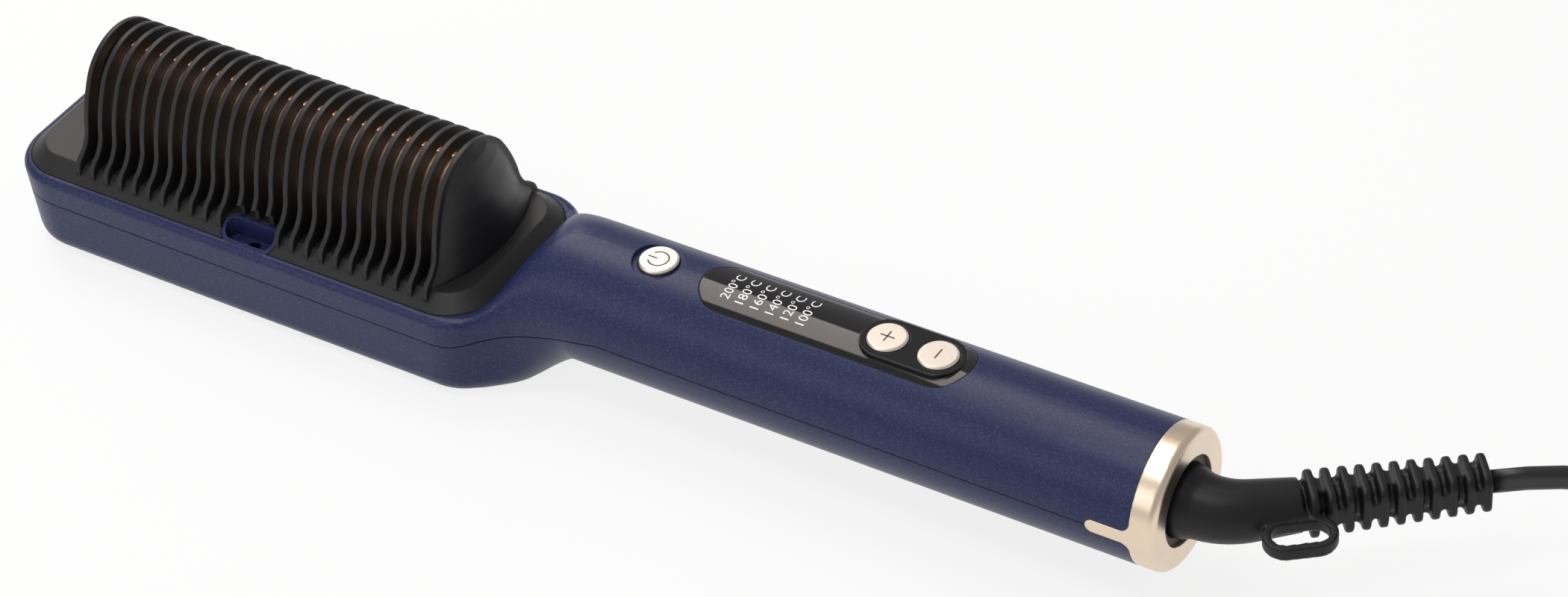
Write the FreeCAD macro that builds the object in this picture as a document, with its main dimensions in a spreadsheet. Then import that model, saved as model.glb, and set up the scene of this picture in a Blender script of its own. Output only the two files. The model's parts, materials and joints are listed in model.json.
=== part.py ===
"""Heated hair straightening comb: a parametric document of its casing, comb, heater, controls, cord and plug.

Frame: +X runs along the handle towards the cord, +Z is the way the comb points, and the origin is the middle of
the comb on the flat underside of the head. Lengths are millimetres.
"""
import FreeCAD, Part
import Sketcher
import math
import os
from FreeCAD import Placement, Rotation, Vector

doc = FreeCAD.newDocument("hair_straightener")
sheet = doc.addObject("Spreadsheet::Sheet", "Sizes")

# Driving dimensions: alias, value in millimetres (counts and degrees are named as such), meaning
SIZES = [
    ("handle_diameter", 31.5, "outside of the round handle"),
    ("axis_height", 22.5, "handle axis above the underside of the head"),
    ("shell_wall", 2.2, "wall of both casing halves"),
    ("handle_end", 220.0, "where the casing ends and the end ring shows"),
    ("head_width", 50.4, "across the rim of the head"),
    ("head_tip", 70.2, "comb centre to the free end of the head"),
    ("head_heel", 65.0, "comb centre to the back of the head"),
    ("head_corner", 13.5, "plan radius of the head corners"),
    ("head_draft", 0.8, "how far the underside draws in"),
    ("bottom_round", 5.0, "round along the underside of the head"),
    ("rim_height", 22.2, "top of the rim round the comb plate"),
    ("rim_round", 1.8, "round along the rim"),
    ("rim_width", 2.1, "rim between outside and comb plate"),
    ("plate_gap", 0.15, "shadow gap round the comb plate"),
    ("ledge_drop", 3.0, "seat of the comb plate below the rim"),
    ("ledge_thick", 1.8, "thickness of that seat"),
    ("ledge_reach", 3.2, "how far the seat reaches under the plate"),
    ("parting_height", 15.0, "parting line on the side of the head"),
    ("climb_start", 56.0, "where the parting line starts to climb"),
    ("climb_end", 90.0, "where the parting line has reached the handle axis"),
    ("parting_groove", 0.3, "width and depth of the parting groove"),
    ("neck_start", 55.0, "where the neck leaves the head"),
    ("neck_end", 80.0, "where the neck has become the round handle"),
    ("fin_pitch", 4.08, "fin to fin"),
    ("fin_count", 25, "fins, with the two end walls"),
    ("fin_thick", 1.2, "thickness of a fin"),
    ("fin_height", 27.9, "fin toe to crown"),
    ("toe_inset", 1.5, "fin toe inside the edge of the comb plate"),
    ("toe_height", 23.9, "fin toe above the underside"),
    ("toe_sink", 1.2, "how far a fin is rooted in the plate"),
    ("dome_bulge", 6.0, "how far an end wall bulges"),
    ("bevel_width", 3.7, "bevel between the edge and the raised flat of the comb plate"),
    ("flat_height", 25.4, "raised flat of the comb plate"),
    ("edge_height", 22.3, "bevelled edge of the comb plate"),
    ("catch_length", 15.0, "catch in the rim, along the head"),
    ("catch_depth", 5.6, "catch in the rim, across the head"),
    ("catch_round", 3.0, "corner of the catch"),
    ("catch_wall", 0.9, "lip round the scoop of the catch"),
    ("catch_hole", 3.2, "bore in the scoop"),
    ("ridge_rise", 24.5, "heated ridge above the fin toes"),
    ("ridge_inset", 9.6, "foot of the heated ridge inside the fin toes"),
    ("ridge_gap", 0.4, "room between ridge and fins"),
    ("ridge_slot", 6.0, "slot for the heater"),
    ("ridge_slot_top", 33.0, "roof of that slot"),
    ("crest_groove", 1.6, "groove along the crest of the ridge"),
    ("carrier_top", 12.5, "top of the heat carrier plate"),
    ("carrier_thick", 2.0, "thickness of the carrier plate"),
    ("carrier_half_length", 53.0, "half length of the carrier plate"),
    ("carrier_reach", 5.0, "side of the carrier plate outside the foot of the ridge"),
    ("post_along", 49.5, "carrier posts, along the head"),
    ("post_reach", 1.6, "carrier posts outside the foot of the ridge"),
    ("post_diameter", 6.0, "posts under the carrier and the board"),
    ("heater_thick", 1.6, "ceramic heater"),
    ("heater_margin", 5.0, "end of the heater to the middle of an end wall"),
    ("heater_height", 19.0, "ceramic heater"),
    ("probe_diameter", 2.2, "temperature probe"),
    ("probe_length", 8.0, "temperature probe"),
    ("fuse_diameter", 3.2, "thermal fuse"),
    ("fuse_length", 11.0, "thermal fuse"),
    ("cap_diameter", 9.0, "capacitor"),
    ("cap_height", 11.0, "capacitor"),
    ("cap_place", 126.0, "capacitor along the handle"),
    ("module_length", 14.0, "power module"),
    ("module_width", 10.0, "power module"),
    ("module_height", 7.0, "power module"),
    ("module_place", 158.0, "power module along the handle"),
    ("fit_gap", 0.05, "close fit between seated pieces"),
    ("board_start", 92.0, "circuit board, head end"),
    ("board_end", 180.0, "circuit board, cord end"),
    ("board_margin", 4.75, "side of the board inside the handle"),
    ("board_thick", 1.6, "circuit board"),
    ("board_depth", 11.75, "underside of the board below the crown of the handle"),
    ("power_place", 97.8, "power button along the handle"),
    ("plus_place", 155.1, "plus button along the handle"),
    ("minus_place", 167.4, "minus button along the handle"),
    ("button_diameter", 9.0, "button caps"),
    ("button_gap", 0.2, "room round a button cap"),
    ("button_rise", 0.9, "cap above the crown of the handle"),
    ("button_travel", 0.5, "press of a button"),
    ("flange_extra", 0.8, "retaining flange beyond the cap"),
    ("flange_thick", 0.8, "retaining flange"),
    ("flange_depth", 2.35, "top of the plus and minus flanges below the crown"),
    ("power_flange_depth", 3.55, "top of the power flange below the crown"),
    ("power_rise", 0.2, "power cap above the crown of the handle"),
    ("cap_edge", 0.4, "chamfer of a cap"),
    ("stem_diameter", 3.0, "stem under a cap"),
    ("dish_diameter", 11.8, "dished flat round the power button"),
    ("dish_depth", 0.9, "depth of that flat below the crown"),
    ("lens_start", 109.5, "display window, head end"),
    ("lens_end", 175.5, "display window, cord end"),
    ("lens_width", 14.6, "display window"),
    ("lens_thick", 1.2, "display window"),
    ("lens_ledge", 1.1, "seat round the display window"),
    ("lens_gap", 0.12, "shadow gap round the window"),
    ("island_margin", 1.5, "raised island round the plus and minus caps"),
    ("island_rise", 0.35, "island above the crown of the handle"),
    ("switch_side", 6.0, "tact switch"),
    ("switch_height", 3.5, "tact switch"),
    ("plunger_diameter", 3.4, "tact switch plunger"),
    ("plunger_rise", 1.0, "plunger above its switch"),
    ("plunger_sink", 1.6, "plunger inside its switch"),
    ("label_start", 116.8, "first temperature mark along the handle"),
    ("label_pitch", 3.77, "temperature mark to mark"),
    ("label_count", 6, "temperature marks"),
    ("guide_width", 9.0, "light guide"),
    ("guide_bore", 2.6, "bore over each lamp"),
    ("lamp_length", 1.6, "indicator lamp"),
    ("lamp_width", 0.8, "indicator lamp"),
    ("lamp_height", 0.6, "indicator lamp"),
    ("ring_width", 5.6, "end ring along the handle"),
    ("ring_wall", 5.65, "end ring between outside and opening"),
    ("ring_round", 1.6, "round of the end ring"),
    ("spigot_length", 8.0, "ring inside the casing"),
    ("arm_length", 10.0, "side arms of the end ring"),
    ("arm_width", 3.3, "side arms of the end ring"),
    ("arm_thick", 1.2, "side arms of the end ring"),
    ("arm_root", 2.2, "fillet where an arm meets the ring"),
    ("bush_wall", 1.8, "swivel bush"),
    ("bush_length", 9.2, "swivel bush"),
    ("bush_inset", 1.0, "bush behind the face of the ring"),
    ("swivel_gap", 0.08, "running clearance of the swivel"),
    ("collar_thick", 2.4, "collar that keeps the cord relief in"),
    ("spindle_diameter", 6.0, "contact spindle of the swivel"),
    ("spindle_length", 11.0, "contact spindle of the swivel"),
    ("slip_wall", 0.7, "slip ring"),
    ("slip_length", 1.8, "slip ring"),
    ("slip_pitch", 4.4, "slip ring to slip ring"),
    ("block_length", 11.0, "contact block"),
    ("leaf_thick", 0.5, "contact leaf"),
    ("leaf_width", 1.6, "contact leaf"),
    ("leaf_length", 8.0, "contact leaf"),
    ("elbow_inset", 3.6, "bent neck of the cord relief inside the opening of the ring"),
    ("elbow_radius", 15.0, "bend of the cord relief"),
    ("elbow_angle", 37.6, "bend of the cord relief, degrees"),
    ("elbow_start", 228.6, "where the bend starts"),
    ("sleeve_length", 10.0, "plain sleeve before the ribs"),
    ("rib_count", 11, "ribs of the cord relief"),
    ("rib_pitch", 3.55, "rib to rib"),
    ("rib_thick", 1.9, "one rib"),
    ("rib_first", 11.4, "first rib across"),
    ("rib_last", 9.8, "last rib across"),
    ("rib_core", 7.0, "core inside the ribs"),
    ("rib_bridge", 4.2, "bridge between ribs"),
    ("loop_thick", 1.8, "hanging loop"),
    ("loop_height", 3.4, "hanging loop"),
    ("loop_slot", 6.0, "slot of the hanging loop"),
    ("loop_slot_length", 12.0, "slot of the hanging loop, end to end"),
    ("loop_offset", 9.6, "middle of the slot beside the relief"),
    ("loop_place", 2.6, "start of the slot after the bend"),
    ("cord_diameter", 5.4, "width of the flat cord"),
    ("lead_run", 25.0, "straight runs of the cord by the coil"),
    ("lead_drop", 26.0, "run in which the cord drops to the table"),
    ("coil_gap", 0.6, "least gap between turns"),
    ("coil_inner", 18.0, "innermost turn of the coil"),
    ("coil_turns", 4.0, "turns in each of two layers"),
    ("coil_lift", 1.0, "coil above the table, over its tie"),
    ("tail_run", 25.0, "runs of the cord between coil and plug"),
    ("tail_turn", 44.0, "turn between those runs, degrees"),
    ("tie_width", 8.0, "tie round the coil"),
    ("tie_thick", 0.7, "tie round the coil"),
    ("plug_length", 35.0, "plug body"),
    ("plug_width", 26.0, "plug body"),
    ("plug_height", 13.7, "plug body"),
    ("plug_boot", 18.0, "strain relief of the plug"),
    ("plug_boot_diameter", 8.6, "strain relief of the plug"),
    ("pin_diameter", 4.0, "plug pin"),
    ("pin_length", 19.0, "plug pin"),
    ("pin_pitch", 19.0, "pin to pin"),
    ("screw_shank", 2.5, "casing screw"),
    ("screw_head", 5.0, "casing screw"),
    ("screw_head_height", 1.8, "casing screw"),
    ("screw_clearance", 0.2, "room round a screw head"),
    ("boss_diameter", 7.6, "screw boss"),
    ("head_screw_along", 61.7, "screws in the head, along"),
    ("head_screw_across", 15.7, "screws in the head, across"),
    ("neck_screw_place", 85.5, "screw in the neck"),
    ("tail_screw_place", 191.0, "screw at the cord end"),
    ("screw_seat_head", 8.0, "seat of the head screws"),
    ("screw_seat_handle", 6.5, "seat of the handle screws above the underside of the handle"),
    ("screw_grip", 6.0, "thread in a handle boss"),
    ("boss_roof", 1.0, "head boss left above the thread"),
    ("board_screw_near", 106.0, "first board screw"),
    ("board_screw_far", 146.0, "second board screw"),
    ("small_shank", 2.0, "small screw"),
    ("small_head", 4.0, "small screw"),
    ("small_head_height", 1.4, "small screw"),
    ("small_grip", 5.0, "small screw thread"),
    ("cut_over", 5.0, "overrun of every cut"),
]
# Dimensions that follow others: alias, rule, meaning
FOLLOWING = [
    ("ledge_height", "=rim_height - ledge_drop", "seat of the comb plate in the casing"),
    ("toe_half", "=head_width / 2 - rim_width - toe_inset", "comb centre line to a fin toe"),
    ("flat_half", "=head_width / 2 - rim_width - bevel_width", "half width of the raised flat of the comb plate"),
    ("ridge_half", "=head_width / 2 - rim_width - toe_inset - ridge_inset", "half width of the heated ridge at its foot"),
    ("carrier_half_width", "=ridge_half + carrier_reach", "half width of the carrier plate"),
    ("post_across", "=ridge_half + post_reach", "carrier posts, across the head"),
    ("screw_grip_head", "=rim_height - ledge_drop - parting_height - boss_roof", "thread in a head boss"),
    ("board_width", "=handle_diameter - 2 * board_margin", "circuit board"),
    ("board_lift", "=handle_diameter / 2 - board_depth", "underside of the board above the handle axis"),
    ("flange_level", "=handle_diameter / 2 - flange_depth", "top of the plus and minus flanges above the axis"),
    ("power_flange_level", "=handle_diameter / 2 - power_flange_depth", "top of the power flange above the axis"),
    ("ring_bore", "=handle_diameter - 2 * ring_wall", "opening in the end ring"),
    ("elbow_diameter", "=handle_diameter - 2 * ring_wall - 2 * elbow_inset", "bent neck of the cord relief"),
]
for row, (alias, number, meaning) in enumerate(SIZES + FOLLOWING, start=1):
    sheet.set(f"A{row}", str(number))
    sheet.set(f"B{row}", meaning)
    sheet.setAlias(f"A{row}", alias)
doc.recompute()


def val(alias):
    """The number in the sheet under that alias."""
    return float(sheet.get(alias))


axis = val("axis_height")
radius = val("handle_diameter") / 2
wall = val("shell_wall")
over = val("cut_over")
crown = axis + radius
NODES = []


def keep(label, shape):
    """A part whose shape is worked out from the sheet, as a document object of that name."""
    item = doc.addObject("Part::Feature", label)
    item.Label = label
    where = shape.Placement
    item.Shape = shape
    item.Placement = where
    NODES.append(item)
    return item


def rounded_outline(start, end, half, start_corner, end_corner, height):
    """Closed plan outline with one corner radius at each end."""
    a, b = start_corner, end_corner
    slant = 1 - math.sqrt(0.5)
    points = [
        (start + a, -half), (end - b, -half), (end - b * slant, -half + b * slant), (end, -half + b),
        (end, half - b), (end - b * slant, half - b * slant), (end - b, half),
        (start + a, half), (start + a * slant, half - a * slant), (start, half - a),
        (start, -half + a), (start + a * slant, -half + a * slant),
    ]
    at = [Vector(x, y, height) for x, y in points]
    edges = [
        Part.LineSegment(at[0], at[1]), Part.Arc(at[1], at[2], at[3]),
        Part.LineSegment(at[3], at[4]), Part.Arc(at[4], at[5], at[6]),
        Part.LineSegment(at[6], at[7]), Part.Arc(at[7], at[8], at[9]),
        Part.LineSegment(at[9], at[10]), Part.Arc(at[10], at[11], at[0]),
    ]
    return Part.Wire([edge.toShape() for edge in edges])


def prism(wire, height):
    return Part.Face(wire).extrude(Vector(0, 0, height))


def rounded_section(place, half, low, high, low_corner, high_corner, draw=0):
    """Closed outline across the handle with one corner radius below and one above, drawn in below."""
    foot = half - draw
    a, b = low_corner, high_corner
    slant = 1 - math.sqrt(0.5)
    points = [
        (-foot + a, low), (foot - a, low), (foot - a * slant, low + a * slant), (foot, low + a),
        (half, high - b), (half - b * slant, high - b * slant), (half - b, high),
        (-half + b, high), (-half + b * slant, high - b * slant), (-half, high - b),
        (-foot, low + a), (-foot + a * slant, low + a * slant),
    ]
    at = [Vector(place, y, z) for y, z in points]
    edges = [
        Part.LineSegment(at[0], at[1]), Part.Arc(at[1], at[2], at[3]),
        Part.LineSegment(at[3], at[4]), Part.Arc(at[4], at[5], at[6]),
        Part.LineSegment(at[6], at[7]), Part.Arc(at[7], at[8], at[9]),
        Part.LineSegment(at[9], at[10]), Part.Arc(at[10], at[11], at[0]),
    ]
    return Part.Wire([edge.toShape() for edge in edges])


def rod(diameter, length, base, direction=Vector(0, 0, 1)):
    return Part.makeCylinder(diameter / 2, length, base, direction)


def tube_x(outer, inner, start, end):
    """Ring about the handle axis, given by its two radii."""
    base = Vector(start, 0, axis)
    ring = Part.makeCylinder(outer, end - start, base, Vector(1, 0, 0))
    return ring.cut(Part.makeCylinder(inner, end - start, base, Vector(1, 0, 0)))


def block(start, end, left, right, low, high):
    return Part.makeBox(end - start, right - left, high - low, Vector(start, left, low))


def union(shapes):
    return shapes[0].multiFuse(shapes[1:]).removeSplitter()


# Casing: head, neck and handle as one outer form, hollowed and parted into two halves
def head_form(inset, top):
    start = -val("head_tip") + inset
    end = val("head_heel") - inset
    half = val("head_width") / 2 - inset
    corner = val("head_corner") - inset
    draft = val("head_draft")
    low = rounded_outline(start + draft, end - draft, half - draft, corner, corner, inset)
    high = rounded_outline(start, end, half, corner, corner, top)
    form = Part.makeLoft([low, high], True, True)
    foot = [edge for edge in form.Edges if max(v.Point.z for v in edge.Vertexes) < inset + val("fit_gap")]
    return form.makeFillet(val("bottom_round") - inset, foot)


# Neck sections: share of the way along, then shares of the change in half width, underside and top
NECK_SHARES = [
    (0.0, 0.1, 0.02, 0.0),
    (0.12, 0.21, 0.025, 0.0),
    (0.2, 0.346, 0.03, 0.02),
    (0.28, 0.505, 0.045, 0.1),
    (0.38, 0.686, 0.08, 0.32),
    (0.52, 0.846, 0.22, 0.66),
    (0.68, 0.942, 0.55, 0.88),
    (0.82, 0.98, 0.82, 0.965),
    (0.92, 0.996, 0.955, 0.992),
    (1.0, 1.0, 1.0, 1.0),
]


def neck_form(inset):
    start = val("neck_start")
    length = val("neck_end") - start
    wide = val("head_width") / 2 - val("fit_gap")
    top = val("rim_height") - val("fit_gap")
    sections = []
    for along, narrow, lift, rise in NECK_SHARES:
        half = wide + (radius - wide) * narrow - inset
        low = (axis - radius) * lift + inset
        high = top + (crown - top) * rise - inset
        full = min(half, (high - low) / 2) - val("fit_gap")
        low_corner = min(val("bottom_round") + (radius - val("bottom_round")) * lift - inset, full)
        high_corner = val("rim_round") + (radius - val("rim_round")) * rise - inset
        high_corner = min(max(high_corner, val("rim_round") / 2), full)
        draw = val("head_draft") * (1 - narrow)
        sections.append(rounded_section(start + length * along, half, low, high, low_corner, high_corner, draw))
    return Part.makeLoft(sections, True, False)


def handle_form(inset, end):
    """The round handle, which starts on the last section of the neck."""
    start = val("neck_end")
    full = radius - inset
    corner = full - val("fit_gap")
    section = rounded_section(start, full, axis - full, axis + full, corner, corner)
    return Part.Face(section).extrude(Vector(end - start, 0, 0))


def above_parting(shift):
    """Everything above the parting line, which climbs from the head to the handle axis along the neck."""
    far = val("handle_end") + over
    near = -val("head_tip") - over
    low = val("parting_height") + shift
    high = axis + shift
    side = val("head_width")
    points = [
        Vector(near, -side, low), Vector(val("climb_start"), -side, low), Vector(val("climb_end"), -side, high),
        Vector(far, -side, high), Vector(far, -side, crown + over), Vector(near, -side, crown + over),
    ]
    return Part.Face(Part.makePolygon(points + points[:1])).extrude(Vector(0, 2 * side, 0))


plate_start = -val("head_tip") + val("rim_width")
plate_end = val("head_heel") - val("rim_width") - val("rim_round")
plate_half = val("head_width") / 2 - val("rim_width")
plate_corner = val("head_corner") - val("rim_width")
gap = val("plate_gap")

# Comb plate: an upright edge and a bevel up to its raised flat
bevel = plate_half - val("flat_half")
low_wire = rounded_outline(plate_start, plate_end, plate_half, plate_corner, plate_corner, val("ledge_height"))
edge_wire = rounded_outline(plate_start, plate_end, plate_half, plate_corner, plate_corner, val("edge_height"))
flat_wire = rounded_outline(plate_start + bevel, plate_end - bevel, plate_half - bevel, plate_corner - bevel,
                            plate_corner - bevel, val("flat_height"))
plate_form = union([prism(low_wire, val("edge_height") - val("ledge_height")),
                    Part.makeLoft([edge_wire, flat_wire], True, True)])

outer = head_form(0, val("rim_height"))
rim = [e for e in outer.Edges if min(v.Point.z for v in e.Vertexes) > val("rim_height") - val("fit_gap")]
outer = outer.makeFillet(val("rim_round"), rim)
outer = union([outer, neck_form(0), handle_form(0, val("handle_end"))])
inner_head = head_form(wall, val("ledge_height") - val("ledge_thick"))
inner = union([inner_head, neck_form(wall), handle_form(wall, val("handle_end") + over)])


# Where the screws stand
head_screws = [(-val("head_screw_along"), side * val("head_screw_across")) for side in (-1, 1)]
handle_screws = [(val("neck_screw_place"), 0), (val("tail_screw_place"), 0)]
carrier_screws = [(a * val("post_along"), b * val("post_across")) for a in (-1, 1) for b in (-1, 1)]
board_screws = [(val("board_screw_near"), 0), (val("board_screw_far"), 0)]
handle_seat = axis - radius + val("screw_seat_handle")
board_under = axis + val("board_lift")
board_top = board_under + val("board_thick")
carrier_under = val("carrier_top") - val("carrier_thick")
bore = val("screw_shank") + 2 * val("screw_clearance")
counterbore = val("screw_head") + 2 * val("screw_clearance")


def catch_form(grow, low, high):
    """The catch in the front rim, grown or shrunk all round."""
    length = val("catch_length") / 2 + grow
    half = (val("catch_depth") + val("rim_width") / 4) / 2 + grow
    wire = rounded_outline(-length, length, half, val("catch_round") + grow, val("catch_round") + grow, low)
    form = prism(wire, high - low)
    form.translate(Vector(0, -(plate_half - val("catch_depth")) - half + grow, 0))
    return form


def window_form(grow, bottom, top):
    """The display window between two radii of the handle, grown or shrunk all round."""
    half = val("lens_width") / 2 + grow
    corner = half - val("fit_gap")
    wire = rounded_outline(val("lens_start") - grow, val("lens_end") + grow, half, corner, corner, axis)
    form = prism(wire, top)
    length = val("lens_end") - val("lens_start") + 2 * over
    start = Vector(val("lens_start") - over, 0, axis)
    along = Vector(1, 0, 0)
    form = form.common(Part.makeCylinder(top, length, start, along))
    return form.cut(Part.makeCylinder(bottom, length, start, along))


def arm_form(grow):
    """One outline of a side arm of the end ring, cut through the whole handle and kept to its skin."""
    half = val("arm_width") / 2 + grow
    root = val("arm_root") - grow
    base = val("handle_end")
    tip = base - val("arm_length") - grow
    slant = root * (1 - math.sqrt(0.5))
    inside = base + val("fit_gap") + grow

    def at(x, z):
        return Vector(x, -radius - over, axis + z)

    edges = [
        Part.LineSegment(at(inside, half + root), at(base, half + root)),
        Part.Arc(at(base, half + root), at(base - slant, half + slant), at(base - root, half)),
        Part.LineSegment(at(base - root, half), at(tip + half, half)),
        Part.Arc(at(tip + half, half), at(tip, 0), at(tip + half, -half)),
        Part.LineSegment(at(tip + half, -half), at(base - root, -half)),
        Part.Arc(at(base - root, -half), at(base - slant, -half - slant), at(base, -half - root)),
        Part.LineSegment(at(base, -half - root), at(inside, -half - root)),
        Part.LineSegment(at(inside, -half - root), at(inside, half + root)),
    ]
    wire = Part.Wire([edge.toShape() for edge in edges])
    form = Part.Face(wire).extrude(Vector(0, 2 * (radius + over), 0))
    return form.common(tube_x(radius + grow, radius - val("arm_thick") - grow, tip - over, inside))


skin_depth = val("parting_groove")
under_skin = union([head_form(skin_depth, val("rim_height")), neck_form(skin_depth),
                    handle_form(skin_depth, val("handle_end") + over)])
slab = above_parting(-skin_depth / 2).cut(above_parting(skin_depth / 2))
groove = outer.cut(under_skin).common(slab)
arm_slots = arm_form(val("fit_gap"))

# Upper half: rim and seat for the comb plate, catch, button bore, window and screw bosses
upper = outer.common(above_parting(0)).cut(inner)
ledge_low = val("ledge_height") - val("ledge_thick")
deep = crown + over
opening = rounded_outline(plate_start - gap, plate_end + gap, plate_half + gap, plate_corner + gap,
                          plate_corner + gap, val("ledge_height"))
reach = val("ledge_reach")
throat = rounded_outline(plate_start + reach, plate_end - reach, plate_half - reach, plate_corner - reach,
                         plate_corner - reach, ledge_low - over)
upper = upper.cut(prism(opening, deep)).cut(prism(throat, deep))
pilots = [rod(val("screw_shank"), val("screw_grip_head") + over, Vector(x, y, val("parting_height") - over))
          for x, y in head_screws]
pilots += [rod(val("screw_shank"), val("screw_grip") + over, Vector(x, y, axis - over)) for x, y in handle_screws]
cuts = [rod(val("dish_diameter"), over, Vector(val("power_place"), 0, crown - val("dish_depth")))]
cuts.append(rod(val("button_diameter") + 2 * val("button_gap"), radius, Vector(val("power_place"), 0, axis + over)))
cuts.append(window_form(val("lens_gap"), radius - val("lens_thick"), radius + over))
cuts.append(window_form(-val("lens_ledge"), radius - wall - over, radius + over))
cuts += pilots
cuts += [groove, arm_slots]
for form in cuts:
    upper = upper.cut(form)
bosses = [rod(val("boss_diameter"), val("ledge_height") - val("parting_height"),
              Vector(x, y, val("parting_height"))) for x, y in head_screws]
bosses += [rod(val("boss_diameter"), radius - wall / 2, Vector(x, y, axis)) for x, y in handle_screws]
# The catch rises with the bevel of the plate and ends level with the rim
length = val("catch_length")
cover = union([plate_form, block(-length, length, -plate_half - val("rim_width"), -plate_half + bevel / 2,
                                 val("ledge_height"), val("rim_height"))])
catch = catch_form(0, val("ledge_height"), deep).common(cover)
catch = catch.cut(catch_form(-val("catch_wall"), val("ledge_height") + val("catch_wall"), deep))
catch_middle = -(plate_half - val("catch_depth") / 2)
catch_bore = rod(val("catch_hole"), 2 * over, Vector(0, catch_middle, val("ledge_height") - over))
upper = upper.cut(catch_bore)
upper = upper.fuse(catch.cut(catch_bore))
for boss in bosses:
    upper = upper.fuse(boss.cut(pilots))
keep("upper_shell", upper)

# Lower half: tray, posts and screw columns
lower = outer.cut(above_parting(0)).cut(inner)
columns = [rod(val("boss_diameter"), val("parting_height") - wall / 2, Vector(x, y, wall / 2)) for x, y in head_screws]
columns += [rod(val("boss_diameter"), radius - wall / 2, Vector(x, y, axis - radius + wall / 2))
            for x, y in handle_screws]
columns += [rod(val("post_diameter"), carrier_under - wall / 2, Vector(x, y, wall / 2)) for x, y in carrier_screws]
columns += [rod(val("post_diameter"), board_under - axis + radius - wall / 2, Vector(x, y, axis - radius + wall / 2))
            for x, y in board_screws]
lower = union([lower] + columns)
cuts = [rod(bore, val("parting_height") + over, Vector(x, y, 0)) for x, y in head_screws]
cuts += [rod(counterbore, val("screw_seat_head") + over, Vector(x, y, -over)) for x, y in head_screws]
cuts += [rod(bore, axis, Vector(x, y, over)) for x, y in handle_screws]
cuts += [rod(counterbore, handle_seat, Vector(x, y, 0)) for x, y in handle_screws]
cuts += [rod(val("small_shank"), val("small_grip"), Vector(x, y, carrier_under - val("small_grip")))
         for x, y in carrier_screws]
cuts += [rod(val("small_shank"), val("small_grip"), Vector(x, y, board_under - val("small_grip")))
         for x, y in board_screws]
cuts += [groove, arm_slots]
lower = lower.cut(cuts).removeSplitter()
keep("lower_shell", lower)

# Comb: bevelled plate, fins and two domed end walls in one moulding
# Fin outline: shares of the toe half width and of the fin height, from the toe to the crown
FIN_SHARES = [
    (1.0, 0.0), (0.975, 0.09), (0.878, 0.16), (0.795, 0.235), (0.735, 0.376), (0.66, 0.57), (0.53, 0.78), (0.0, 1.0),
]
# Ridge outline: shares of its foot half width and of its rise, from the hip to the crest
RIDGE_SHARES = [(0.966, 0.416), (0.883, 0.585), (0.658, 0.79), (0.0, 1.0)]
toe = val("toe_half")
toe_z = val("toe_height")
rise = val("fin_height")
comb_half = val("fin_pitch") * (val("fin_count") - 1) / 2


def across(place, pairs):
    return [Vector(place, y, z) for y, z in pairs]


def fin_face(place):
    pairs = [(a * toe, toe_z + b * rise) for a, b in FIN_SHARES]
    right = across(place, pairs)
    left = across(place, [(-y, z) for y, z in pairs])
    foot = toe_z - val("toe_sink")
    base = across(place, [(-toe, foot), (toe, foot)])
    edges = [
        Part.LineSegment(base[0], base[1]), Part.LineSegment(base[1], right[0]),
        Part.Arc(right[0], right[1], right[2]), Part.Arc(right[2], right[3], right[4]),
        Part.Arc(right[4], right[5], right[6]), Part.Arc(right[6], right[7], left[6]),
        Part.Arc(left[6], left[5], left[4]), Part.Arc(left[4], left[3], left[2]),
        Part.Arc(left[2], left[1], left[0]), Part.LineSegment(left[0], base[0]),
    ]
    return Part.Face(Part.Wire([edge.toShape() for edge in edges]))


def ridge_face(place, grow, foot):
    half = val("ridge_half")
    pairs = [(a * half + grow, toe_z + b * val("ridge_rise") + grow) for a, b in RIDGE_SHARES]
    right = across(place, pairs)
    left = across(place, [(-y, z) for y, z in pairs])
    top = Vector(place, 0, pairs[-1][1])
    base = across(place, [(-half - grow, foot), (half + grow, foot)])
    edges = [
        Part.LineSegment(base[0], base[1]), Part.LineSegment(base[1], right[0]),
        Part.Arc(right[0], right[1], right[2]), Part.Arc(right[2], top, left[2]),
        Part.Arc(left[2], left[1], left[0]), Part.LineSegment(left[0], base[0]),
    ]
    return Part.Face(Part.Wire([edge.toShape() for edge in edges]))


# End wall slices: shares of the fin height, with the share of the toe half width the fin has there
DOME_SHARES = [
    (0.0, 1.0), (0.09, 0.975), (0.16, 0.878), (0.235, 0.795), (0.376, 0.735), (0.57, 0.66), (0.78, 0.53), (0.9, 0.38),
    (0.985, 0.15),
]


def dome_form(side):
    start = side * (comb_half - val("fin_thick") / 2)
    sections = []
    for up, wide in DOME_SHARES:
        y = wide * toe
        z = toe_z + up * rise
        out = start + side * (val("fin_thick") / 2 + val("dome_bulge") * math.sqrt(1 - up * up))
        ends = Vector(start, -y, z), Vector(start, y, z)
        arc = Part.Arc(ends[1], Vector(out, 0, z), ends[0]).toShape()
        sections.append(Part.Wire([Part.LineSegment(ends[0], ends[1]).toShape(), arc]))
    return Part.makeLoft(sections, True, True)


guard = [plate_form]
fin = fin_face(0).extrude(Vector(val("fin_thick"), 0, 0))
for index in range(int(val("fin_count"))):
    one = fin.copy()
    one.translate(Vector(index * val("fin_pitch") - comb_half - val("fin_thick") / 2, 0, 0))
    guard.append(one)
guard += [dome_form(-1), dome_form(1)]
guard = union(guard)
inside = comb_half - val("fin_thick") / 2
tunnel = ridge_face(-inside, val("ridge_gap"), val("ledge_height") - over).extrude(Vector(2 * inside, 0, 0))
guard = guard.cut([tunnel, catch_form(gap, val("ledge_height") - over, toe_z + over)]).removeSplitter()
keep("comb_guard", guard)

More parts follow.
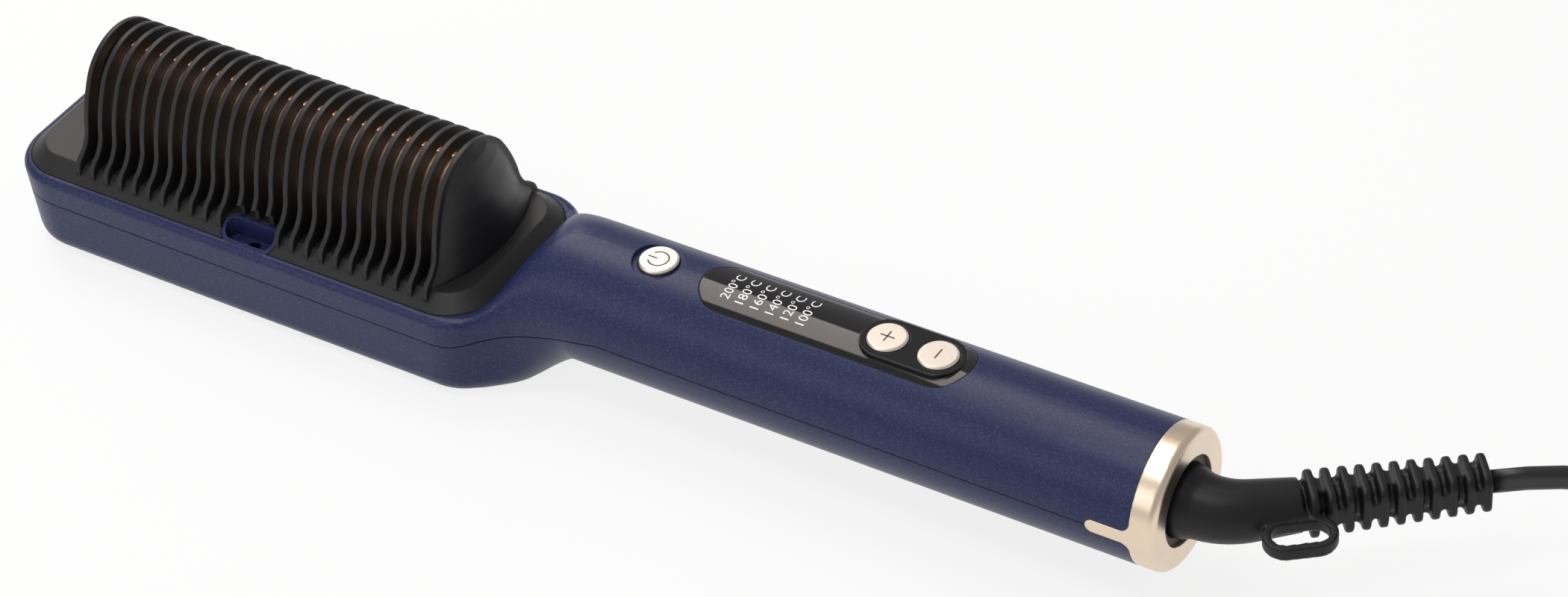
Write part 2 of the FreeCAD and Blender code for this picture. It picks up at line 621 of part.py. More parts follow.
# Heated ridge, with a slot for the heater and a fine groove along its crest
ridge_end = inside - val("ridge_gap")
ridge = ridge_face(-ridge_end, 0, val("carrier_top")).extrude(Vector(2 * ridge_end, 0, 0))
slot = val("ridge_slot") / 2
ridge = ridge.cut(block(-ridge_end - over, ridge_end + over, -slot, slot, val("carrier_top") - over,
                        val("ridge_slot_top")))
crest = val("crest_groove") / 2
crest_z = toe_z + val("ridge_rise")
ridge = ridge.cut(block(-ridge_end - over, ridge_end + over, -crest, crest, crest_z - crest, crest_z + over))
keep("heating_ridge", ridge)


# Plain pieces as document primitives, each size and place bound to the sheet
def bind(item, **rules):
    for name, rule in rules.items():
        item.setExpression(name.replace("__", "."), rule)


def box(label, length, width, height, place):
    item = doc.addObject("Part::Box", label)
    item.Label = label
    bind(item, Length=length, Width=width, Height=height)
    bind(item, Placement__Base__x=place[0], Placement__Base__y=place[1], Placement__Base__z=place[2])
    return item


def cylinder(label, diameter, height, place):
    item = doc.addObject("Part::Cylinder", label)
    item.Label = label
    bind(item, Radius=f"({diameter}) / 2", Height=height)
    bind(item, Placement__Base__x=place[0], Placement__Base__y=place[1], Placement__Base__z=place[2])
    return item


def group(label, items):
    item = doc.addObject("Part::Compound", label)
    item.Label = label
    item.Links = items
    NODES.append(item)


def fused(label, base, tool):
    item = doc.addObject("Part::Fuse", label)
    item.Label = label
    item.Base = base
    item.Tool = tool
    return item


def less(label, base, tool):
    item = doc.addObject("Part::Cut", label)
    item.Label = label
    item.Base = base
    item.Tool = tool
    return item


def sketch(body, plane, corners, circles=()):
    """A closed outline and round holes, every corner and centre placed from the sheet."""
    drawing = body.newObject("Sketcher::SketchObject", body.Label + "_sketch")
    origin = [feature for feature in body.Origin.OriginFeatures if feature.Role == plane][0]
    drawing.AttachmentSupport = [(origin, "")]
    drawing.MapMode = "FlatFace"
    count = len(corners)
    turn = 2 * math.pi / count
    loose = [Vector(math.cos(turn * n), math.sin(turn * n), 0) for n in range(count)]
    for n in range(count):
        drawing.addGeometry(Part.LineSegment(loose[n], loose[(n + 1) % count]), False)
    for n in range(count):
        drawing.addConstraint(Sketcher.Constraint("Coincident", n, 2, (n + 1) % count, 1))
    for n, (one, two) in enumerate(corners):
        for kind, rule in (("DistanceX", one), ("DistanceY", two)):
            number = drawing.addConstraint(Sketcher.Constraint(kind, -1, 1, n, 1, 1.0))
            drawing.setExpression(f"Constraints[{number}]", rule)
    for one, two, across_rule in circles:
        n = drawing.addGeometry(Part.Circle(Vector(1, 1, 0), Vector(0, 0, 1), 1), False)
        for kind, rule in (("DistanceX", one), ("DistanceY", two)):
            number = drawing.addConstraint(Sketcher.Constraint(kind, -1, 1, n, 3, 1.0))
            drawing.setExpression(f"Constraints[{number}]", rule)
        number = drawing.addConstraint(Sketcher.Constraint("Diameter", n, 2.0))
        drawing.setExpression(f"Constraints[{number}]", across_rule)
    return drawing


def new_body(label, place):
    body = doc.addObject("PartDesign::Body", label)
    body.Label = label
    bind(body, Placement__Base__x=place[0], Placement__Base__y=place[1], Placement__Base__z=place[2])
    NODES.append(body)
    return body


def padded(label, corners, circles, depth, place):
    body = new_body(label, place)
    pad = body.newObject("PartDesign::Pad", label + "_pad")
    pad.Profile = sketch(body, "XY_Plane", corners, circles)
    pad.setExpression("Length", depth)


def turned(label, corners, line, place):
    body = new_body(label, place)
    spin = body.newObject("PartDesign::Revolution", label + "_turn")
    drawing = sketch(body, "XZ_Plane", corners)
    spin.Profile = drawing
    spin.ReferenceAxis = (drawing, [line])
    spin.Angle = 360


S = "Sizes."

# Heat carrier, heater, clamp, probe and fuse in the head
heater_length = f"{S}fin_pitch * ({S}fin_count - 1) - 2 * {S}heater_margin"
half_l, half_w = S + "carrier_half_length", S + "carrier_half_width"
holes = [(f"{a}{S}post_along", f"{b}{S}post_across", f"{S}small_shank + 2 * {S}screw_clearance")
         for a in ("-", "") for b in ("-", "")]
padded("heat_carrier", [("-" + half_l, "-" + half_w), (half_l, "-" + half_w), (half_l, half_w), ("-" + half_l, half_w)],
       holes, S + "carrier_thick", ("0", "0", f"{S}carrier_top - {S}carrier_thick"))
NODES.append(box("ceramic_heater", heater_length, S + "heater_thick", S + "heater_height",
                 (f"-({heater_length}) / 2", f"-{S}ridge_slot / 2 + {S}fit_gap", S + "carrier_top")))
NODES.append(box("heater_clamp", heater_length,
                 f"{S}ridge_slot - {S}heater_thick - 3 * {S}fit_gap", S + "heater_height",
                 (f"-({heater_length}) / 2", f"-{S}ridge_slot / 2 + {S}heater_thick + 2 * {S}fit_gap",
                  S + "carrier_top")))


def lying(label, diameter, length, along_rule, across_rule):
    item = cylinder(label, diameter, length, (along_rule, across_rule, f"{S}carrier_top + {diameter} / 2"))
    item.Placement.Rotation = Rotation(Vector(0, 1, 0), 90)
    NODES.append(item)


lying("temperature_probe", S + "probe_diameter", S + "probe_length", S + "probe_length", S + "post_across")
lying("thermal_fuse", S + "fuse_diameter", S + "fuse_length", f"-2 * {S}fuse_length", S + "post_across")


def screws(label, places, prefix, seat, grip):
    """One group of screws whose heads sit on the seat, with the shank below or above it."""
    parts = []
    for n, (x, y) in enumerate(places):
        name = f"{label}_{n + 1}"
        lift = f"{seat} - {S}{prefix}_head_height" if grip.startswith("+") else seat
        head = cylinder(name + "_head", f"{S}{prefix}_head", f"{S}{prefix}_head_height", (x, y, lift))
        start = seat if grip.startswith("+") else f"{seat} - ({grip[1:]})"
        shank = cylinder(name + "_shank", f"{S}{prefix}_shank", grip[1:], (x, y, start))
        parts.append(fused(name, head, shank))
    group(label, parts)


quad = [(f"{a}{S}post_along", f"{b}{S}post_across") for a in ("-", "") for b in ("-", "")]
screws("carrier_screws", quad, "small", S + "carrier_top", f"-{S}carrier_thick + {S}small_grip - {S}screw_clearance")
pair = [(S + "board_screw_near", "0"), (S + "board_screw_far", "0")]
board_face = f"{S}axis_height + {S}board_lift + {S}board_thick"
screws("board_screws", pair, "small", board_face, f"-{S}board_thick + {S}small_grip - {S}screw_clearance")
pair = [(f"-{S}head_screw_along", f"{b}{S}head_screw_across") for b in ("-", "")]
screws("head_screws", pair, "screw", S + "screw_seat_head",
       f"+{S}parting_height - {S}screw_seat_head + {S}screw_grip_head - {S}screw_clearance")
pair = [(S + "neck_screw_place", "0"), (S + "tail_screw_place", "0")]
handle_face = f"({S}axis_height - {S}handle_diameter / 2 + {S}screw_seat_handle)"
screws("handle_screws", pair, "screw", handle_face,
       f"+{S}axis_height - {handle_face} + {S}screw_grip - {S}screw_clearance")

# Circuit board with switches, lamps, light guide and power parts
near, far, edge = S + "board_start", S + "board_end", S + "board_width / 2"
hole = f"{S}small_shank + 2 * {S}screw_clearance"
padded("control_board", [(near, "-" + edge), (far, "-" + edge), (far, edge), (near, edge)],
       [(S + "board_screw_near", "0", hole), (S + "board_screw_far", "0", hole)], S + "board_thick",
       ("0", "0", f"{S}axis_height + {S}board_lift"))
side = S + "switch_side"
cases = []
for name in ("power", "plus", "minus"):
    place = f"{S}{name}_place"
    case = box(name + "_switch_body", side, side, S + "switch_height",
               (f"{place} - {side} / 2", f"-{side} / 2", board_face))
    well = f"{S}plunger_sink + {S}button_travel + {S}button_gap"
    cavity = cylinder(name + "_switch_well", f"{S}plunger_diameter + 2 * {S}button_gap", f"{well} + {S}cut_over",
                      (place, "0", f"{board_face} + {S}switch_height - ({well})"))
    cases.append(less(name + "_switch", case, cavity))
group("switch_cases", cases)
lamps = []
for n in range(int(val("label_count"))):
    lamps.append(box(f"lamp_{n + 1}", S + "lamp_width", S + "lamp_length", S + "lamp_height",
                     (f"{S}label_start + {n} * {S}label_pitch - {S}lamp_width / 2", f"-{S}lamp_length / 2", board_face)))
group("indicator_lamps", lamps)
guide_length = f"({S}label_count * {S}label_pitch)"
guide = box("guide_block", guide_length, S + "guide_width",
            f"{S}flange_level + {S}axis_height - ({board_face})",
            (f"{S}label_start - {S}label_pitch / 2", f"-{S}guide_width / 2", board_face))
for n in range(int(val("label_count"))):
    cavity = cylinder(f"guide_bore_{n + 1}", S + "guide_bore", S + "handle_diameter",
                      (f"{S}label_start + {n} * {S}label_pitch", "0", S + "axis_height"))
    guide = less(f"light_guide_{n + 1}", guide, cavity)
guide.Label = "light_guide"
NODES.append(guide)
NODES.append(cylinder("capacitor", S + "cap_diameter", S + "cap_height",
                      (S + "cap_place", "0", f"{S}axis_height + {S}board_lift - {S}cap_height")))
NODES.append(box("power_module", S + "module_length", S + "module_width", S + "module_height",
                 (f"{S}module_place - {S}module_length / 2", f"-{S}module_width / 2",
                  f"{S}axis_height + {S}board_lift - {S}module_height")))

# Buttons: stem, flange and cap turned in one piece, each on its own switch plunger
plunger_top = f"{S}board_lift + {S}board_thick + {S}switch_height + {S}plunger_rise"
for name, level, proud in (("power", "power_flange_level", "power_rise"), ("plus", "flange_level", "button_rise"),
                           ("minus", "flange_level", "button_rise")):
    flange_top = f"{S}{level} - ({plunger_top})"
    flange_low = f"{flange_top} - {S}flange_thick"
    cap_top = f"{S}handle_diameter / 2 + {S}{proud} - ({plunger_top})"
    stem, cap = S + "stem_diameter / 2", S + "button_diameter / 2"
    turned(name + "_button", [("0", "0"), (stem, "0"), (stem, flange_low), (f"{cap} + {S}flange_extra", flange_low),
                              (f"{cap} + {S}flange_extra", flange_top), (cap, flange_top),
                              (cap, f"{cap_top} - {S}cap_edge"), (f"{cap} - {S}cap_edge", cap_top), ("0", cap_top)],
           "V_Axis", (f"{S}{name}_place", "0", f"{S}axis_height + {plunger_top}"))
    NODES.append(cylinder(name + "_plunger", S + "plunger_diameter", f"{S}plunger_sink + {S}plunger_rise",
                          (f"{S}{name}_place", "0",
                           f"{S}axis_height + {plunger_top} - {S}plunger_sink - {S}plunger_rise")))

# Display window with its raised island
lens = window_form(0, radius - val("lens_thick"), radius)
isle = val("button_diameter") / 2 + val("island_margin")
isle_wire = rounded_outline(val("plus_place") - isle, val("minus_place") + isle, isle, isle - val("fit_gap"),
                            isle - val("fit_gap"), axis)
island = prism(isle_wire, radius + val("island_rise"))
lens_under = Part.makeCylinder(radius - val("lens_thick"), val("lens_end"), Vector(val("board_start"), 0, axis),
                               Vector(1, 0, 0))
lens = lens.fuse(island.cut(lens_under))
for name in ("plus", "minus"):
    opening_diameter = val("button_diameter") + 2 * val("button_gap")
    lens = lens.cut(rod(opening_diameter, crown, Vector(val(name + "_place"), 0, axis)))
keep("display_lens", lens.removeSplitter())

# End ring with side arms, swivel bush, contact block and leaves
ring_end = val("handle_end") + val("ring_width")
along = Vector(1, 0, 0)
ring = Part.makeCylinder(radius, val("ring_width"), Vector(val("handle_end"), 0, axis), along)
lip = [e for e in ring.Edges if e.BoundBox.XMin > ring_end - val("fit_gap")]
ring = ring.makeFillet(val("ring_round"), lip)
spigot_start = val("handle_end") - val("spigot_length")
ring = ring.fuse(Part.makeCylinder(radius - wall - val("fit_gap"), val("spigot_length"), Vector(spigot_start, 0, axis),
                                   along))
ring = ring.fuse(arm_form(0))
ring = ring.cut(Part.makeCylinder(val("ring_bore") / 2, ring_end, Vector(val("board_start"), 0, axis), along))
keep("end_ring", ring.removeSplitter())

bush_out = f"{S}ring_bore / 2 - {S}fit_gap"
bush_in = f"{bush_out} - {S}bush_wall"
bush_far = f"{S}handle_end + {S}ring_width - {S}bush_inset"
bush_near = f"{bush_far} - {S}bush_length"
turned("swivel_bush", [(bush_near, bush_in), (bush_far, bush_in), (bush_far, bush_out), (bush_near, bush_out)],
       "H_Axis", ("0", "0", S + "axis_height"))

bush_radius = val("ring_bore") / 2 - val("fit_gap") - val("bush_wall")
neck_radius = bush_radius - val("swivel_gap")
bush_start = ring_end - val("bush_inset") - val("bush_length")
collar_end = bush_start - val("swivel_gap")
collar_start = collar_end - val("collar_thick")
spindle_start = collar_start - val("spindle_length")
block_end = spigot_start - val("fit_gap")
slip_radius = val("spindle_diameter") / 2 + val("slip_wall")
leaf_low = axis + slip_radius + val("swivel_gap")
slip_places = [collar_start - val("slip_pitch") * n for n in (1, 2)]
contact = tube_x(radius - wall - val("fit_gap"), slip_radius + val("leaf_thick"), block_end - val("block_length"),
                 block_end)
leaves = []
for place in slip_places:
    reach_leaf = val("leaf_length") / 2
    start = place + (val("slip_length") - val("leaf_width")) / 2
    leaf = block(start, start + val("leaf_width"), -reach_leaf, reach_leaf, leaf_low, leaf_low + val("leaf_thick"))
    leaves.append(leaf)
    contact = contact.cut(leaf)
keep("contact_block", contact)
keep("contact_leaves", Part.makeCompound(leaves))
keep("slip_rings", Part.makeCompound([tube_x(slip_radius, val("spindle_diameter") / 2, place,
                                             place + val("slip_length")) for place in slip_places]))

# Cord relief: spindle, collar and neck in the swivel, then the bend, the plain sleeve, the ribs and the hanging loop
bend = math.radians(val("elbow_angle"))
bend_radius = val("elbow_radius")
bend_start = val("elbow_start")
tube_radius = val("elbow_diameter") / 2
relief = [
    Part.makeCylinder(val("spindle_diameter") / 2, val("spindle_length") + val("fit_gap"),
                      Vector(spindle_start, 0, axis), along),
    Part.makeCylinder(val("ring_bore") / 2 - val("bush_wall") / 2, val("collar_thick"), Vector(collar_start, 0, axis),
                      along),
    Part.makeCylinder(neck_radius, ring_end - collar_end + val("fit_gap"), Vector(collar_end, 0, axis), along),
    Part.makeCone(neck_radius, tube_radius, bend_start - ring_end, Vector(ring_end, 0, axis), along),
]
disc = Part.Face(Part.Wire(Part.makeCircle(tube_radius, Vector(bend_start, 0, axis), along)))
relief.append(disc.revolve(Vector(bend_start, bend_radius, axis), Vector(0, 0, 1), val("elbow_angle")))
bend_end = Vector(bend_start + bend_radius * math.sin(bend), bend_radius * (1 - math.cos(bend)), axis)
onward = Placement(bend_end, Rotation(Vector(0, 0, 1), val("elbow_angle")))
first = val("rib_first") / 2
last = val("rib_last") / 2
sleeve = val("sleeve_length")
ribs = int(val("rib_count"))
rib_pitch = val("rib_pitch")
straight = [
    Part.makeCone(tube_radius, first, sleeve, Vector(0, 0, 0), along),
    Part.makeCylinder(val("rib_core") / 2, sleeve / 2 + rib_pitch * ribs, Vector(sleeve / 2, 0, 0), along),
]
RIB_ROUND_SHARE = 0.42
BRIDGE_SHARE = 0.9
for n in range(ribs):
    half = first + (last - first) * n / (ribs - 1)
    corner = half * RIB_ROUND_SHARE
    place = sleeve + rib_pitch * (n + 1) - val("rib_thick")
    plate = rounded_section(place, half, -half, half, corner, corner)
    straight.append(Part.Face(plate).extrude(Vector(val("rib_thick"), 0, 0)))
    reach_bridge = half * BRIDGE_SHARE
    bar = val("rib_bridge") / 2
    wide, tall = (bar, reach_bridge) if n % 2 else (reach_bridge, bar)
    straight.append(block(place - rib_pitch + val("rib_thick"), place, -wide, wide, -tall, tall))
slot_half = val("loop_slot") / 2
slot_start = val("loop_place")
slot_end = slot_start + val("loop_slot_length")
loop_low = -val("loop_height") / 2


def loop_form(grow):
    half = slot_half + grow
    wire = rounded_outline(slot_start - grow, slot_end + grow, half, half - val("fit_gap"), half - val("fit_gap"), loop_low)
    form = prism(wire, val("loop_height"))
    form.translate(Vector(0, -val("loop_offset"), 0))
    return form


straight.append(loop_form(val("loop_thick")).cut(loop_form(0)))
for form in straight:
    form.Placement = onward.multiply(form.Placement)
relief = union(relief + straight)
keep("cord_relief", relief)

# Cord: a free lead, a coil of two layers tied in a bundle, and a short tail to the plug
cord_radius = val("cord_diameter") / 2


def arc_between(start, heading, end):
    """The arc that leaves start along heading and reaches end, or a line where they are in one line."""
    chord = end - start
    side_way = chord - heading * chord.dot(heading)
    if side_way.Length < val("fit_gap") * val("fit_gap"):
        return Part.LineSegment(start, end).toShape()
    normal = side_way / side_way.Length
    bend_radius = chord.Length ** 2 / (2 * chord.dot(normal))
    centre = start + normal * bend_radius
    to_middle = (start + end) / 2 - centre
    if chord.dot(heading) < 0:
        to_middle = to_middle * -1
    middle = centre + to_middle * (bend_radius / to_middle.Length)
    return Part.Arc(start, middle, end).toShape()


# Share of a run that a rounded corner may take up
CORNER_SHARE = 0.45


def rounded_path(points):
    """Straight runs joined by tangent arcs, each as large as the shorter of its two runs allows."""
    edges = []
    radii = []
    at = points[0]
    for before, corner, after in zip(points, points[1:], points[2:]):
        back = before - corner
        ahead = after - corner
        take = CORNER_SHARE * min(back.Length, ahead.Length)
        start = corner + back * (take / back.Length)
        end = corner + ahead * (take / ahead.Length)
        edges.append(Part.LineSegment(at, start).toShape())
        arc = arc_between(start, back * (-1 / back.Length), end)
        edges.append(arc)
        radii.append(arc.Curve.Radius)
        at = end
    edges.append(Part.LineSegment(at, points[-1]).toShape())
    return Part.Wire(edges), min(radii)


def biarcs(points, headings):
    """Two tangent arcs for each span between points with known headings."""
    edges = []
    for start, end, one, two in zip(points, points[1:], headings, headings[1:]):
        span = end - start
        total = one + two
        spread = 2 * (1 - one.dot(two))
        reach = span.dot(total)
        step = (math.sqrt(reach * reach + spread * span.dot(span)) - reach) / spread
        join = (start + end + (one - two) * step) / 2
        edges.append(arc_between(start, one, join))
        back = arc_between(end, two * -1, join)
        middle = back.valueAt((back.FirstParameter + back.LastParameter) / 2)
        edges.append(Part.Arc(join, middle, end).toShape())
    return edges


def swept(wire, start, heading):
    disc = Part.Wire(Part.makeCircle(cord_radius, start, heading))
    pipe = Part.BRepOffsetAPI.MakePipeShell(wire)
    pipe.add(disc)
    pipe.build()
    pipe.makeSolid()
    solid = pipe.shape()
    wanted = math.pi * cord_radius ** 2 * wire.Length
    print("cord length", round(wire.Length, 1), "volume share", round(solid.Volume / wanted, 4))
    return solid


def flat_heading(degrees):
    return Vector(math.cos(math.radians(degrees)), math.sin(math.radians(degrees)), 0)


cord_pitch = val("cord_diameter") + val("coil_gap")
floor_z = val("coil_lift") + cord_radius
relief_end = onward.multVec(Vector(sleeve + rib_pitch * ribs, 0, 0))
ENTRY_TURN_SHARE = 0.5
entry_angle = val("elbow_angle") * ENTRY_TURN_SHARE
leave = flat_heading(val("elbow_angle"))
entry = flat_heading(entry_angle)
drop_way = flat_heading((val("elbow_angle") + entry_angle) / 2)
lead_points = [relief_end, relief_end + leave * val("lead_run")]
drop = lead_points[1] + drop_way * val("lead_drop")
lead_points.append(Vector(drop.x, drop.y, floor_z))
lead_points.append(lead_points[2] + entry * val("lead_run"))
lead_wire, least = rounded_path(lead_points)
print("least lead radius in diameters", round(least / val("cord_diameter"), 2))
keep("cord_lead", swept(lead_wire, relief_end, leave))

turns = val("coil_turns")
outermost = val("coil_inner") + cord_pitch * turns
coil_entry = lead_points[3] + entry * val("cord_diameter")
coil_centre = coil_entry + Vector(entry.y, -entry.x, 0) * outermost
CLIMB_TURNS = 0.5
END_SHORT = 0.5
total_turns = 2 * turns + 2 * CLIMB_TURNS - END_SHORT


def coil_point(turn):
    """Spiral in, climb one layer in the half turn where it reverses, and spiral out on top."""
    if turn < turns + CLIMB_TURNS / 2:
        reach_out = outermost - cord_pitch * turn
    else:
        reach_out = outermost - cord_pitch * (turns + CLIMB_TURNS / 2) + cord_pitch * (turn - turns - CLIMB_TURNS / 2)
    climb = min(max((turn - turns) / CLIMB_TURNS, 0), 1)
    height = floor_z + cord_pitch * (1 - math.cos(math.pi * climb)) / 2
    angle = math.radians(entry_angle + 90 - 360 * turn)
    return Vector(coil_centre.x + reach_out * math.cos(angle), coil_centre.y + reach_out * math.sin(angle), height)


def coil_heading(turn):
    tiny = 0.01
    way = coil_point(turn + tiny) - coil_point(turn - tiny)
    return way / way.Length


STEPS = 4
marks = [n / STEPS for n in range(int(total_turns * STEPS) + 1)]
coil_points = [coil_point(mark) for mark in marks]
headings = [coil_heading(mark) for mark in marks]
headings[0] = entry
exit_way = Vector(headings[-1].x, headings[-1].y, 0)
exit_way = exit_way / exit_way.Length
headings[-1] = exit_way
coil_edges = [Part.LineSegment(lead_points[3], coil_entry).toShape()]
coil_edges += biarcs(coil_points, headings)
coil_exit = coil_points[-1] + exit_way * val("cord_diameter")
coil_edges.append(Part.LineSegment(coil_points[-1], coil_exit).toShape())
coil_wire = Part.Wire(coil_edges)
keep("cord_coil", swept(coil_wire, lead_points[3], entry))
PER_TURN = 40
samples = [(n / PER_TURN, coil_point(n / PER_TURN)) for n in range(int(total_turns * PER_TURN) + 1)]
nearest = min((one[1] - two[1]).Length for one in samples for two in samples if two[0] - one[0] > 0.5)
print("least gap in the coil", round(nearest - val("cord_diameter"), 3))

# The tail turns back over the coil, so that the plug lies on top of it
coil_top = floor_z + cord_pitch + cord_radius
plug_z = coil_top + val("plug_height") / 2 + val("fit_gap")
CLIMB_SHARES = [0.0, 0.35, 0.7, 1.0, 1.0]
tail_points = [coil_exit]
tail_angle = math.degrees(math.atan2(exit_way.y, exit_way.x))
for climb in CLIMB_SHARES:
    onto = tail_points[-1] + flat_heading(tail_angle) * val("tail_run")
    tail_points.append(Vector(onto.x, onto.y, coil_exit.z + (plug_z - coil_exit.z) * climb))
    tail_angle -= val("tail_turn")
plug_way = tail_points[-1] - tail_points[-2]
plug_way = plug_way / plug_way.Length
tail_wire, least = rounded_path(tail_points)
print("least tail radius in diameters", round(least / val("cord_diameter"), 2))
tail_way = tail_points[1] - tail_points[0]
keep("cord_tail", swept(tail_wire, coil_exit, tail_way))

# Tie round the bundle, on the side away from the handle
tie_in = val("coil_inner") - cord_pitch * CLIMB_TURNS - cord_radius
tie_out = outermost + cord_pitch * CLIMB_TURNS + cord_radius
tie_middle = (tie_in + tie_out) / 2
loose = val("coil_gap") / 2
tie_half = (tie_out - tie_in) / 2 + loose
tie_low = val("coil_lift") - loose
tie_high = floor_z + cord_pitch + cord_radius + loose
hold = val("tie_thick")
width = val("tie_width")
tie_corner = cord_radius / 2
tie = Part.Face(rounded_section(0, tie_half + hold, tie_low - hold, tie_high + hold, tie_corner + hold,
                                tie_corner + hold)).extrude(Vector(width, 0, 0))
tie = tie.cut(Part.Face(rounded_section(-over, tie_half, tie_low, tie_high, tie_corner,
                                        tie_corner)).extrude(Vector(width + 2 * over, 0, 0)))
TIE_TURN = 130.0
tie_angle = entry_angle + 90 - TIE_TURN
tie.translate(Vector(-width / 2, -tie_middle, 0))
tie.Placement = Placement(Vector(coil_centre.x, coil_centre.y, 0), Rotation(Vector(0, 0, 1), tie_angle + 90)).multiply(
    tie.Placement)
keep("coil_tie", tie)

# Plug: boot and body, with two pins
plug_base = tail_points[-1]
plug_turn = math.degrees(math.atan2(plug_way.y, plug_way.x))
plug_place = Placement(plug_base, Rotation(Vector(0, 0, 1), plug_turn))
boot = val("plug_boot_diameter") / 2
body_half = val("plug_width") / 2
body_tall = val("plug_height") / 2
boot_end = val("plug_boot")
body_end = boot_end + val("plug_length")
PLUG_SHARES = [(0.0, 0.42, 0.72), (0.35, 0.8, 0.95), (0.6, 1.0, 1.0), (1.0, 1.0, 1.0)]
PLUG_ROUND_SHARE = 0.6
BOOT_TIP_SHARE = 0.8
sections = []
for share, wide, tall in PLUG_SHARES:
    half = body_half * wide
    height = body_tall * tall
    corner = body_tall * PLUG_ROUND_SHARE * tall
    sections.append(rounded_section(boot_end + (body_end - boot_end) * share, half, -height, height, corner, corner))
plug = Part.makeLoft(sections, True, True)
plug = plug.fuse(Part.makeCone(boot * BOOT_TIP_SHARE, boot, boot_end + val("fit_gap"), Vector(0, 0, 0), along))
plug.Placement = plug_place
keep("plug_body", plug)
pins = []
for side_of in (-1, 1):
    pin = Part.makeCylinder(val("pin_diameter") / 2, val("pin_length"),
                            Vector(body_end, side_of * val("pin_pitch") / 2, 0), along)
    pin.Placement = plug_place.multiply(pin.Placement)
    pins.append(pin)
keep("plug_pins", Part.makeCompound(pins))

# Every object has to have recomputed cleanly before anything is written
doc.recompute()
for item in doc.Objects:
    if "Invalid" in item.State or "Error" in item.State:
        raise RuntimeError(f"{item.Label} did not recompute")
os.makedirs("parts", exist_ok=True)
for item in NODES:
    if item.Shape.isNull() or not item.Shape.isValid():
        raise RuntimeError(f"{item.Label} has no valid shape")
    item.Shape.exportStep(f"parts/{item.Label}.step")
print("written", len(NODES), "nodes")
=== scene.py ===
"""Heated straightening comb: looks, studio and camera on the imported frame.

Shapes are sized in millimetres and scaled by MM. Looks, camera and lamps are in metres.
"""
import json
import math
import bmesh
import bpy
from mathutils import Matrix, Vector


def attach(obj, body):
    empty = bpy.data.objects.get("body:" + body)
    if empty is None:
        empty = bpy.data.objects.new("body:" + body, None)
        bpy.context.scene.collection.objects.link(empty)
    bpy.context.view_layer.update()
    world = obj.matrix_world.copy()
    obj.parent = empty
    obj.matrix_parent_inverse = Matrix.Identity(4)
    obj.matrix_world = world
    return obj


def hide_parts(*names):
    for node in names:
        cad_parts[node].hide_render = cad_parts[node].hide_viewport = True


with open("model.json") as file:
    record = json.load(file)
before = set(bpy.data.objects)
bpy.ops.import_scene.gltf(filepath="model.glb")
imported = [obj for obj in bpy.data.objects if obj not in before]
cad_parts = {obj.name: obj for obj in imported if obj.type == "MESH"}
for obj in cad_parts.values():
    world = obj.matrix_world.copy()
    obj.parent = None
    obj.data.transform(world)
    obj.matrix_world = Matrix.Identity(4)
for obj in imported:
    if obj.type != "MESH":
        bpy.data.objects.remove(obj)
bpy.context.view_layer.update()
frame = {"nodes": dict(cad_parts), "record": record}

MM = 0.001
scene = bpy.context.scene
UPRIGHT = Vector((0, 0, 1))
HANDLE_AXIS = 22.5
HANDLE_RADIUS = 15.75


def collect(obj):
    scene.collection.objects.link(obj)
    return obj


# Materials: each has fine grain, a little colour change and uneven gloss from its own nodes
BUMP_DEPTH = 0.00002
BROAD_SCALE = 60.0
FLAKE_SCALE = 3600.0
FLAKE_FROM = 0.62
FLAKE_FULL = 0.9
FLAKE_MOST = 0.5
LEAST_ROUGH = 0.02
EDGE_SAMPLES = 4


